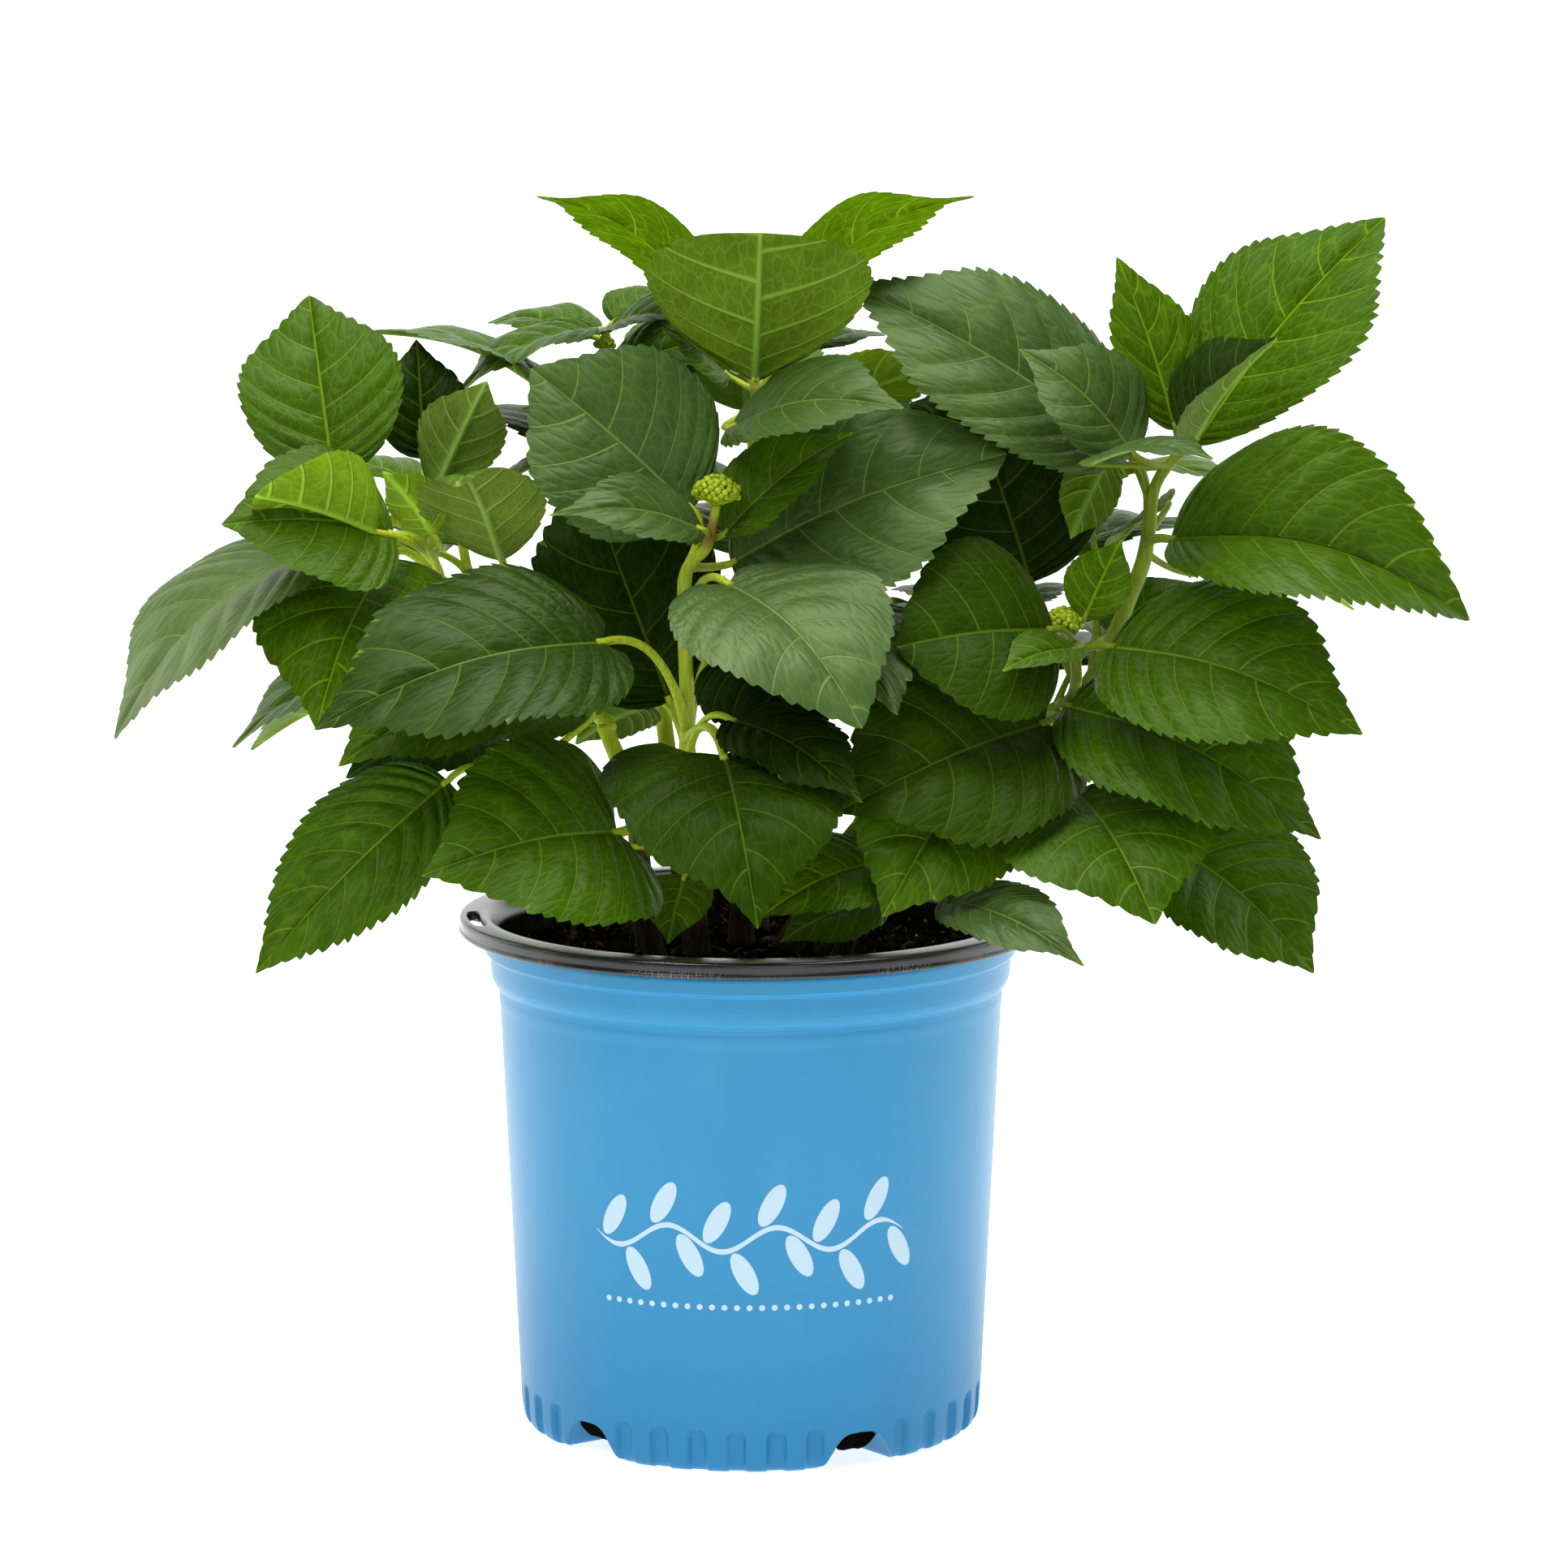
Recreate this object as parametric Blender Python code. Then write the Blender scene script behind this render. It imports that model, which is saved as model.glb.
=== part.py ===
"""Potted hydrangea: a leafy shrub with closed flower buds in a round nursery pot.

Metres, +Z up, the front of the plant towards -Y. The origin is the middle of the pot's flat
underside. Sizes below are in millimetres and become metres when a mesh is made.

A leaf row gives where its blade starts and ends as seen from the front: u to the right of the
pot's axis, v above the ground, and d how far it stands towards the viewer. The sight line of the
viewer's eye turns these three into a point.
"""

import math
import random

import bmesh
import bpy
from mathutils import Matrix, Vector
from mathutils.bvhtree import BVHTree

# ---------------------------------------------------------------- named sizes, mm
MM = 0.001
GAP = 0.3

RIM_R = 120.0
RIM_TOP = 213.5
RIM_UNDER = 204.5
BAND_IN_R = 103.0
BAND_OUT_R = 104.8
BAND_FOOT = 189.0
WALL_TOP_R = 103.8
WALL_FOOT_R = 95.2
COLLAR_FOOT = 183.0
WALL = 2.6
FLOOR = 3.0
ROUND_STEPS = 40
FEET = 5
NOTCH_FIRST = 28.0
NOTCH_WIDE = 34.0
NOTCH_NARROW = 17.0
NOTCH_HIGH = 16.5

SOIL_TOP = 196.0

EYE = Vector((14.0, -2274.0, 609.0))
VIEW_MIDDLE = Vector((14.0, 0.0, 265.0))
VIEW_PITCH = math.radians(8.6)
VIEW_U, VIEW_V = 14.0, 259.7

LEAF_THICK = 2.4
FULL_FOOT = 0.50
FULL_TIP = 0.92
LEAF_STATIONS = (0.0, 0.07, 0.28, 0.56, 0.82, 1.0)
STALK_R = (2.2, 1.6)
CLEAR = 1.3

# ---------------------------------------------------------------- stems and shoots
# A cane runs from the soil to the foot of its shoot: x and y on the soil, one point on the way
# and its tip as (u, v, d), and its radius at the foot and at the tip.
CANES = {
    "cane_front": ((-22, -12), (-25, 238, 18), (-26, 268, 21), 5.2, 3.9),
    "cane_left": ((-42, -2), (-48, 250, 4), (-60, 284, 0), 4.6, 3.4),
    "cane_right": ((14, -8), (48, 244, -6), (104, 282, -6), 5.4, 4.2),
    "cane_side": ((30, -22), (66, 240, 18), (118, 282, 16), 4.4, 3.2),
    "cane_top": ((-4, 10), (-2, 262, -14), (3, 318, -24), 4.8, 3.8),
    "cane_low_left": ((-38, -30), (-46, 214, 34), (-58, 226, 34), 4.2, 3.4),
    "cane_low_right": ((36, -40), (44, 212, 44), (56, 224, 44), 4.2, 3.4),
    "cane_back_left": ((-26, 24), (-36, 290, -46), (-46, 352, -58), 4.2, 3.0),
    "cane_rear_left": ((-46, 28), (-70, 240, -60), (-92, 278, -88), 4.6, 3.6),
    "cane_rear_right": ((28, 20), (52, 246, -52), (84, 290, -84), 4.8, 3.6),
    "cane_rear_middle": ((2, 36), (4, 240, -60), (6, 286, -92), 4.8, 3.6),
}

# A shoot carries on from its cane through these points, each with a radius.
SHOOTS = {
    "shoot_front": ("cane_front", ((-26, 293, 25), (-27, 343, 30), (-18, 357, 32), (-14, 374, 34)), 3.6, 1.9),
    "shoot_left": ("cane_left", ((-96, 318, -6), (-126, 342, -4), (-131, 366, -6)), 3.3, 1.7),
    "shoot_right": ("cane_right", ((136, 298, -2), (160, 348, 4), (166, 382, 6), (180, 400, 6)), 4.0, 2.0),
    "shoot_side": ("cane_side", ((132, 296, 18), (133, 312, 24), (129, 322, 30)), 3.0, 1.9),
    "shoot_top": ("cane_top", ((5, 372, -27), (3, 410, -20), (2, 426, -14)), 3.6, 2.2),
    "shoot_low_left": ("cane_low_left", ((-78, 244, 32), (-100, 270, 26)), 3.2, 2.0),
    "shoot_low_right": ("cane_low_right", ((84, 238, 40), (116, 250, 30)), 3.2, 2.0),
    "shoot_back_left": ("cane_back_left", ((-56, 402, -64), (-60, 436, -66)), 2.8, 1.8),
    "shoot_rear_left": ("cane_rear_left", ((-112, 330, -112), (-124, 392, -122)), 3.5, 1.8),
    "shoot_rear_right": ("cane_rear_right", ((112, 350, -108), (124, 420, -120)), 3.5, 1.8),
    "shoot_rear_middle": ("cane_rear_middle", ((2, 350, -120), (0, 430, -132)), 3.5, 1.8),
}

# Flower buds: shoot, middle (u, v, d), radius.
BUDS = (
    ("shoot_front", (-14, 379, 34), 9.5),
    ("shoot_side", (128, 326, 30), 8.0),
    ("shoot_back_left", (-60, 440, -66), 5.0),
)

# Leaves: shoot, name, place on the shoot 0-1, blade foot, blade tip, width,
# way its upper face looks (right, towards the viewer, up), arch, fold.
LEAVES = (
    ("shoot_front", "f", 0.22, (-57, 318, 58), (-179, 282, 108), 92, (0.0, 0.62, 0.78), 0.10, 0.10),
    ("shoot_front", "k", 0.18, (-13, 277, 72), (3, 201, 148), 96, (0.0, 0.66, 0.75), 0.12, -0.08),
    ("shoot_front", "w", 0.24, (-12, 343, 52), (46, 284, 112), 90, (0.25, 0.66, 0.70), 0.12, 0.05),
    ("shoot_front", "x", 0.60, (-8, 350, 22), (105, 395, 40), 76, (-0.30, 0.80, 0.55), 0.08, 0.10),
    ("shoot_front", "y", 0.60, (-24, 372, 24), (-90, 430, 22), 86, (0.25, 0.90, 0.35), 0.05, 0.10),
    ("shoot_front", "z", 0.82, (-20, 364, 42), (-83, 370, 76), 50, (0.0, 0.72, 0.68), 0.12, 0.15),
    ("shoot_front", "aa", 0.82, (-11, 362, 24), (42, 404, 22), 40, (-0.4, 0.70, 0.55), 0.08, 0.30),
    ("shoot_front", "u", 0.14, (-33, 293, 4), (-71, 395, -22), 72, (-0.1, 0.90, 0.40), 0.06, 0.08),
    ("shoot_front", "u2", 0.12, (-10, 313, 12), (30, 272, 48), 60, (0.1, 0.70, 0.70), 0.10, 0.08),
    ("shoot_front", "l", 0.06, (-8, 286, 30), (46, 252, 70), 60, (0.0, 0.60, 0.80), 0.10, 0.08),
    ("shoot_front", "v", 0.08, (-42, 292, 8), (-72, 276, -14), 34, (0.0, -0.6, 0.7), 0.05, 0.10),
    ("shoot_right", "hh", 0.97, (182, 399, 4), (260, 492, -20), 78, (-0.50, 0.75, 0.40), 0.06, 0.12),
    ("shoot_right", "ii", 0.94, (174, 405, 8), (150, 476, -6), 40, (0.40, 0.85, 0.30), 0.04, 0.20),
    ("shoot_right", "jj", 0.97, (180, 398, 14), (216, 443, 46), 46, (-0.60, 0.40, 0.60), 0.05, 0.70),
    ("shoot_right", "ll1", 0.86, (157, 395, 22), (110, 438, 20), 48, (0.30, 0.80, 0.50), 0.12, 0.20),
    ("shoot_right", "ll2", 0.86, (140, 392, 26), (190, 393, 56), 42, (-0.1, 0.05, 1.0), 0.10, 0.05),
    ("shoot_right", "ff", 0.60, (172, 360, 20), (295, 328, 48), 92, (0.05, 0.75, 0.65), 0.17, 0.45),
    ("shoot_right", "ff2", 0.58, (180, 346, -6), (248, 331, -30), 52, (0.1, 0.0, 1.0), 0.10, 0.05),
    ("shoot_right", "kk", 0.52, (153, 396, 4), (40, 465, -2), 80, (0.35, 0.78, 0.55), 0.06, 0.10),
    ("shoot_right", "nn", 0.30, (115, 342, -14), (91, 413, -20), 72, (0.1, 0.95, 0.15), 0.06, 0.06),
    ("shoot_right", "mm", 0.34, (118, 392, -24), (58, 414, -34), 48, (0.2, 0.60, 0.75), 0.08, 0.10),
    ("shoot_right", "oo", 0.70, (147, 395, -4), (131, 360, 14), 26, (0.0, -0.9, 0.3), 0.05, 0.10),
    ("shoot_right", "ff3", 0.62, (170, 374, -10), (148, 354, -42), 38, (0.0, 0.50, 0.85), 0.06, 0.10),
    ("shoot_right", "ee2", 0.22, (146, 322, -10), (184, 342, -32), 32, (0.0, 0.50, 0.90), 0.08, 0.10),
    ("shoot_side", "bb", 0.80, (124, 323, 42), (60, 316, 62), 78, (-0.1, 0.85, 0.50), 0.08, 0.06),
    ("shoot_side", "cc", 0.92, (137, 328, 32), (152, 360, 24), 28, (-0.2, 0.90, 0.30), 0.06, 0.25),
    ("shoot_side", "dd", 0.85, (134, 315, 38), (103, 306, 64), 26, (0.0, 0.50, 0.85), 0.08, 0.20),
    ("shoot_side", "ee", 0.72, (147, 316, 36), (251, 280, 80), 88, (0.0, 0.70, 0.70), 0.11, 0.10),
    ("shoot_side", "gg", 0.30, (129, 292, 24), (234, 237, 60), 84, (0.0, 0.60, 0.80), 0.11, 0.10),
    ("shoot_side", "m", 0.20, (125, 286, 40), (35, 248, 92), 96, (-0.15, 0.85, 0.55), 0.06, 0.10),
    ("shoot_low_right", "n", 0.70, (89, 262, 40), (54, 205, 100), 74, (0.2, 0.70, 0.70), 0.10, 0.08),
    ("shoot_low_right", "o", 0.95, (133, 257, 42), (166, 202, 104), 96, (0.1, 0.72, 0.68), 0.10, 0.08),
    ("shoot_low_right", "p", 0.95, (171, 236, 12), (231, 182, 46), 76, (0.35, 0.70, 0.60), 0.08, 0.12),
    ("shoot_low_right", "q", 0.30, (79, 212, 72), (137, 185, 120), 46, (0.0, 0.60, 0.80), 0.10, 0.10),
    ("shoot_low_right", "t", 0.34, (55, 228, 72), (4, 205, 106), 48, (0.0, 0.60, 0.80), 0.10, 0.10),
    ("shoot_low_right", "r", 0.30, (54, 212, 62), (12, 195, 76), 36, (0.0, 0.50, 0.80), 0.08, 0.05),
    ("shoot_left", "a", 0.96, (-171, 386, 14), (-181, 460, -24), 66, (0.0, 0.85, 0.45), 0.04, 0.06),
    ("shoot_left", "a2", 0.92, (-134, 393, -26), (-137, 442, -50), 38, (0.1, 0.70, 0.60), 0.06, 0.10),
    ("shoot_left", "b", 0.74, (-146, 362, 18), (-217, 366, 46), 78, (0.0, 0.68, 0.72), 0.08, 0.08),
    ("shoot_left", "c", 0.80, (-154, 363, 38), (-203, 378, 62), 62, (0.0, -0.55, 0.45), 0.05, 0.15),
    ("shoot_left", "c2", 0.86, (-130, 362, 14), (-151, 388, 12), 28, (0.1, -0.8, 0.5), 0.05, 0.20),
    ("shoot_left", "d", 0.76, (-175, 357, 36), (-261, 278, 68), 82, (-0.50, 0.40, 0.78), 0.12, 0.08),
    ("shoot_left", "e", 0.66, (-148, 352, 38), (-178, 282, 90), 84, (-0.2, 0.68, 0.70), 0.10, 0.08),
    ("shoot_left", "vv", 0.96, (-129, 379, -8), (-108, 425, 14), 58, (0.0, -0.85, 0.30), 0.06, 0.08),
    ("shoot_left", "ww", 0.50, (-102, 352, 4), (-120, 392, 50), 78, (0.0, -0.7, 0.7), 0.06, 0.10),
    ("shoot_low_left", "j", 0.36, (-51, 240, 70), (-135, 222, 120), 88, (0.0, 0.80, 0.60), 0.10, 0.08),
    ("shoot_low_left", "i", 0.60, (-124, 261, 42), (-203, 182, 62), 62, (-0.2, 0.80, 0.55), 0.05, 0.10),
    ("shoot_low_left", "g", 0.95, (-101, 297, 46), (-169, 267, 96), 60, (0.0, 0.60, 0.80), 0.10, 0.08),
    ("shoot_low_left", "g2", 0.90, (-65, 293, 30), (-125, 284, 34), 44, (0.0, 0.60, 0.80), 0.08, 0.08),
    ("shoot_low_left", "h", 0.85, (-105, 287, 26), (-166, 262, 64), 55, (0.0, 0.60, 0.80), 0.10, 0.08),
    ("shoot_low_left", "s", 0.30, (-27, 222, 58), (-34, 194, 82), 28, (0.0, 0.70, 0.70), 0.08, 0.10),
    ("shoot_top", "pp", 0.98, (2, 425, -10), (4, 487, 14), 94, (0.0, -0.95, 0.30), -0.10, 0.12),
    ("shoot_top", "qq", 0.96, (-15, 443, -22), (-88, 501, -34), 64, (0.40, 0.35, 0.85), 0.15, 0.12),
    ("shoot_top", "rr", 0.96, (12, 442, -27), (92, 501, -42), 68, (-0.40, 0.35, 0.85), 0.15, 0.12),
    ("shoot_top", "ss", 0.74, (-8, 406, 2), (63, 414, 38), 56, (0.0, 0.60, 0.80), 0.10, 0.10),
    ("shoot_top", "tt", 0.84, (22, 408, -36), (81, 432, -18), 48, (0.0, -0.6, 0.75), 0.06, 0.10),
    ("shoot_top", "top5", 0.90, (23, 438, -38), (55, 444, -70), 38, (0.0, 0.10, 1.0), 0.06, 0.10),
    ("shoot_top", "top6", 0.88, (-9, 427, -24), (-36, 446, -8), 30, (0.1, 0.60, 0.70), 0.06, 0.10),
    ("shoot_back_left", "bl1", 0.96, (-62, 446, -62), (-121, 419, -48), 54, (-0.2, 0.15, 1.0), 0.10, 0.08),
    ("shoot_back_left", "bl2", 0.96, (-64, 443, -74), (-108, 449, -104), 36, (0.0, 0.30, 1.0), 0.08, 0.10),
    ("shoot_back_left", "bl4", 0.98, (-56, 449, -66), (-30, 461, -92), 30, (0.0, 0.40, 0.90), 0.08, 0.10),
    ("shoot_back_left", "bl5", 0.98, (-58, 446, -56), (-27, 451, -30), 34, (0.0, 0.50, 0.90), 0.10, 0.15),
    ("shoot_back_left", "bl6", 0.70, (-56, 428, -60), (-8, 442, -62), 40, (-0.2, 0.50, 0.80), 0.08, 0.10),
)

# The far side: these shoots carry opposite pairs of leaves, each pair a quarter turn on from the
# one below it. Per shoot: seed, turn of the first pair, pairs, the stretch of the shoot that bears them,
# and the length of the first and the last leaves.
PAIRED = (
    ("shoot_rear_left", 11, 205.0, 5, (0.05, 0.97), (128, 66)),
    ("shoot_rear_right", 23, 335.0, 5, (0.05, 0.97), (128, 66)),
    ("shoot_rear_middle", 37, 270.0, 5, (0.05, 0.97), (124, 66)),
    ("shoot_back_left", 41, 250.0, 2, (0.10, 0.60), (106, 88)),
    ("shoot_top", 53, 255.0, 2, (0.10, 0.55), (100, 90)),
)


# ---------------------------------------------------------------- small tools
def clear_scene():
    for obj in list(bpy.data.objects):
        bpy.data.objects.remove(obj, do_unlink=True)


def material(name, colour, rough, metallic=0.0):
    mat = bpy.data.materials.new(name)
    mat.use_nodes = True
    shader = mat.node_tree.nodes["Principled BSDF"]
    shader.inputs["Base Color"].default_value = (*colour, 1.0)
    shader.inputs["Roughness"].default_value = rough
    shader.inputs["Metallic"].default_value = metallic
    return mat


def new_object(name, bm, mat=None):
    """A mesh object in metres from a bmesh in millimetres."""
    bmesh.ops.recalc_face_normals(bm, faces=bm.faces[:])
    bmesh.ops.scale(bm, vec=(MM, MM, MM), verts=bm.verts[:])
    mesh = bpy.data.meshes.new(name)
    bm.to_mesh(mesh)
    bm.free()
    obj = bpy.data.objects.new(name, mesh)
    bpy.context.scene.collection.objects.link(obj)
    if mat:
        mesh.materials.append(mat)
    return obj


def apply_modifiers(obj):
    bpy.context.view_layer.update()
    graph = bpy.context.evaluated_depsgraph_get()
    mesh = bpy.data.meshes.new_from_object(obj.evaluated_get(graph))
    obj.modifiers.clear()
    obj.data = mesh


def keep_one_body(obj):
    """Fills the hollows that a union has sealed and drops loose scraps: only the largest body stays."""
    bm = bmesh.new()
    bm.from_mesh(obj.data)
    bmesh.ops.triangulate(bm, faces=bm.faces[:])
    left = set(bm.faces)
    bodies = []
    while left:
        body, fresh = set(), [left.pop()]
        while fresh:
            face = fresh.pop()
            body.add(face)
            for edge in face.edges:
                for other in edge.link_faces:
                    if other in left:
                        left.discard(other)
                        fresh.append(other)
        size = sum(f.verts[0].co.dot(f.verts[1].co.cross(f.verts[2].co)) for f in body)
        bodies.append((size, body))
    largest = max(bodies, key=lambda pair: pair[0])[1]
    extra = [face for _, body in bodies if body is not largest for face in body]
    if extra:
        bmesh.ops.delete(bm, geom=extra, context="FACES")
        bmesh.ops.delete(bm, geom=[v for v in bm.verts if not v.link_faces], context="VERTS")
    bm.to_mesh(obj.data)
    bm.free()


def turned(name, profile, mat):
    """Turns a closed outline of (radius, height) points about the Z axis."""
    bm = bmesh.new()
    rings = []
    for radius, height in profile:
        if radius < 1e-6:
            rings.append([bm.verts.new((0.0, 0.0, height))])
            continue
        turn = 2.0 * math.pi / ROUND_STEPS
        rings.append([
            bm.verts.new((radius * math.sin(turn * k), -radius * math.cos(turn * k), height))
            for k in range(ROUND_STEPS)
        ])
    for low, high in zip(rings, rings[1:] + rings[:1]):
        for k in range(ROUND_STEPS):
            n = (k + 1) % ROUND_STEPS
            if len(low) == 1 and len(high) == 1:
                break
            if len(low) == 1:
                bm.faces.new((low[0], high[n], high[k]))
            elif len(high) == 1:
                bm.faces.new((low[k], low[n], high[0]))
            else:
                bm.faces.new((low[k], low[n], high[n], high[k]))
    return new_object(name, bm, mat)


def seen(u, v, d):
    """The point d in front of the pot's axis that the eye sees at u, v."""
    up = Vector((0.0, math.sin(VIEW_PITCH), math.cos(VIEW_PITCH)))
    on_plane = VIEW_MIDDLE + Vector((u - VIEW_U, 0.0, 0.0)) + up * (v - VIEW_V)
    sight = on_plane - EYE
    return EYE + sight * ((-d - EYE.y) / sight.y)


def smooth_path(points, per_span):
    """A curve through the points, each span bending towards its neighbours."""
    out = []
    for k in range(len(points) - 1):
        before = points[k - 1] if k else points[k] * 2 - points[k + 1]
        start, end = points[k], points[k + 1]
        after = points[k + 2] if k + 2 < len(points) else end * 2 - start
        for j in range(per_span):
            t = j / per_span
            out.append(0.5 * (
                2 * start + (end - before) * t
                + (2 * before - 5 * start + 4 * end - after) * t * t
                + (3 * start - before - 3 * end + after) * t ** 3
            ))
    out.append(points[-1].copy())
    return out


def along(path, place):
    """Point and direction at a share of the way along a path."""
    spot = min(max(place, 0.0), 1.0) * (len(path) - 1)
    k = min(int(spot), len(path) - 2)
    return path[k].lerp(path[k + 1], spot - k), (path[k + 1] - path[k]).normalized()


def tube(bm, path, radius_at, sides, level_foot=False):
    """A closed tapering tube. With level_foot its first ring lies in the horizontal."""
    side = None
    rings = []
    for k, point in enumerate(path):
        a = path[max(k - 1, 0)]
        b = path[min(k + 1, len(path) - 1)]
        way = (b - a).normalized()
        if side is None:
            side = way.cross(Vector((0.0, 1.0, 0.0)) if abs(way.y) < 0.9 else Vector((1.0, 0.0, 0.0)))
        side = (side - way * side.dot(way)).normalized()
        other = way.cross(side)
        if k == 0 and level_foot:
            side_flat = Vector((side.x, side.y, 0.0)).normalized()
            other = Vector((0.0, 0.0, 1.0)).cross(side_flat)
            ring_side = side_flat
        else:
            ring_side = side
        radius = radius_at(k / (len(path) - 1))
        rings.append([
            bm.verts.new(point + radius * (
                ring_side * math.cos(2 * math.pi * j / sides) + other * math.sin(2 * math.pi * j / sides)))
            for j in range(sides)
        ])
    for low, high in zip(rings, rings[1:]):
        for j in range(sides):
            n = (j + 1) % sides
            bm.faces.new((low[j], low[n], high[n], high[j]))
    bm.faces.new(rings[0][::-1])
    bm.faces.new(rings[-1])


def half_width(s, width):
    """Half the blade's width: full near the foot, drawn out to the tip."""
    top = FULL_FOOT / (FULL_FOOT + FULL_TIP)
    peak = top ** FULL_FOOT * (1.0 - top) ** FULL_TIP
    return max(0.5 * width * s ** FULL_FOOT * (1.0 - s) ** FULL_TIP / peak, 1.7 - 1.1 * s)


def blade_frame(foot, tip, face):
    axis = (tip - foot).normalized()
    normal = Vector(face)
    normal = (normal - axis * normal.dot(axis)).normalized()
    return axis, normal, axis.cross(normal)


def leaf_rings(start, foot, tip, width, face, arch, fold, spare=0.0):
    """Rings of four points (left edge, upper face, right edge, underside) along stalk and blade.

    The stalk bends from the stem into the blade's own direction. The blade's middle rib is bowed
    by arch and its two halves are raised by fold.
    """
    axis, normal, across = blade_frame(foot, tip, face)
    length = (tip - foot).length
    reach = (foot - start).length
    bend = foot - axis * (0.4 * reach) + Vector((0.0, 0.0, 0.10 * reach))
    stalk = []
    for k, t in enumerate((0.0, 0.42, 0.76)):
        point = start * (1 - t) ** 2 + bend * (2 * t * (1 - t)) + foot * t * t
        way = ((bend - start) * (1 - t) + (foot - bend) * t).normalized()
        side = (across - way * across.dot(way)).normalized()
        top = side.cross(way)
        radius = STALK_R[0] + (STALK_R[1] - STALK_R[0]) * t + spare
        stalk.append([point - side * radius, point + top * radius,
                      point + side * radius, point - top * radius])
    leaf_part = []
    for s in LEAF_STATIONS:
        middle = foot + axis * (length * s) + normal * (arch * length * math.sin(math.pi * s))
        half = half_width(s, width) + spare
        wide = across * (half * math.sqrt(1.0 - fold * fold))
        lift = normal * (fold * half)
        thick = 0.5 * LEAF_THICK * (1.0 - 0.45 * s) + spare
        leaf_part.append([middle - wide + lift, middle + normal * thick,
                          middle + wide + lift, middle - normal * thick])
    return stalk, leaf_part


def ring_solid(bm, rings):
    """A closed solid through rings of four points."""
    loops = [[bm.verts.new(p) for p in ring] for ring in rings]
    for low, high in zip(loops, loops[1:]):
        for j in range(4):
            n = (j + 1) % 4
            bm.faces.new((low[j], high[j], high[n], low[n]))
    bm.faces.new(loops[0])
    bm.faces.new(loops[-1][::-1])


def tree_of(bm):
    return BVHTree.FromBMesh(bm, epsilon=0.0)


# ---------------------------------------------------------------- pot
clear_scene()
blue = material("pot_blue", (0.08, 0.34, 0.60), 0.38)
black = material("rim_black", (0.03, 0.03, 0.032), 0.42)
earth = material("soil_dark", (0.030, 0.020, 0.013), 0.95)
bark = material("stem_green", (0.26, 0.30, 0.07), 0.6)
leaf = material("leaf_green", (0.10, 0.20, 0.03), 0.5)


def wall_radius(z):
    """Outer radius of the pot's tapering wall at a height."""
    return WALL_FOOT_R + (WALL_TOP_R - WALL_FOOT_R) * (z - 7.0) / (COLLAR_FOOT - 7.0)


pot_outline = [
    (0.0, 0.0), (89.5, 0.0), (92.6, 1.0), (94.6, 3.4), (WALL_FOOT_R, 7.0),
    (wall_radius(95.0), 95.0), (WALL_TOP_R, COLLAR_FOOT),
    (107.2, COLLAR_FOOT + 1.8), (107.4, COLLAR_FOOT + 4.0), (106.6, COLLAR_FOOT + 5.4),
    (106.8, 196.4), (108.2, 197.4), (108.2, 199.4), (107.2, 200.4),
    (107.4, RIM_UNDER + 2.2), (BAND_OUT_R + GAP, RIM_UNDER + 2.2), (BAND_OUT_R + GAP, BAND_FOOT - GAP),
    (WALL_TOP_R - WALL, BAND_FOOT - GAP - 1.2), (WALL_TOP_R - WALL, COLLAR_FOOT),
    (WALL_FOOT_R - WALL, 9.0), (90.4, FLOOR), (0.0, FLOOR),
]
pot = turned("pot", pot_outline, blue)

notch_mesh = bmesh.new()
for k in range(FEET):
    turn = Matrix.Rotation(math.radians(NOTCH_FIRST + 360.0 / FEET * k), 3, "Z")
    corners = []
    for y, share in ((-84.0, 1.0), (-104.0, 1.0)):
        for x, z in (
            (-0.5 * NOTCH_WIDE, -2.0), (0.5 * NOTCH_WIDE, -2.0),
            (0.5 * NOTCH_NARROW, NOTCH_HIGH - 3.0), (0.28 * NOTCH_NARROW, NOTCH_HIGH),
            (-0.28 * NOTCH_NARROW, NOTCH_HIGH), (-0.5 * NOTCH_NARROW, NOTCH_HIGH - 3.0),
        ):
            corners.append(notch_mesh.verts.new(turn @ Vector((x * share, y, z))))
    inner, outer = corners[:6], corners[6:]
    notch_mesh.faces.new(inner)
    notch_mesh.faces.new(outer[::-1])
    for j in range(6):
        n = (j + 1) % 6
        notch_mesh.faces.new((inner[j], outer[j], outer[n], inner[n]))
notches = new_object("notch_cutter", notch_mesh)
notches.hide_render = True
notches.display_type = "WIRE"
cut = pot.modifiers.new("notches", "BOOLEAN")
cut.operation = "DIFFERENCE"
cut.solver = "EXACT"
cut.object = notches
apply_modifiers(pot)
bpy.data.objects.remove(notches, do_unlink=True)

# ---------------------------------------------------------------- rolled rim and inner band
rim_outline = [
    (BAND_IN_R, BAND_FOOT), (BAND_OUT_R, BAND_FOOT), (BAND_OUT_R, RIM_UNDER + 2.5),
    (107.4 + GAP, RIM_UNDER + 2.5), (107.4 + GAP, RIM_UNDER - 0.3),
]
roll_r, roll_z, roll_w, roll_h = 114.6, 209.0, 5.4, 4.5
for k in range(7):
    angle = math.radians(-110.0 + 35.0 * k)
    rim_outline.append((roll_r + roll_w * math.cos(angle), roll_z + roll_h * math.sin(angle)))
rim_outline += [(107.0, RIM_TOP - 1.2), (BAND_IN_R, RIM_TOP - 5.5)]
rim = turned("pot_rim", rim_outline, black)

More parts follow.
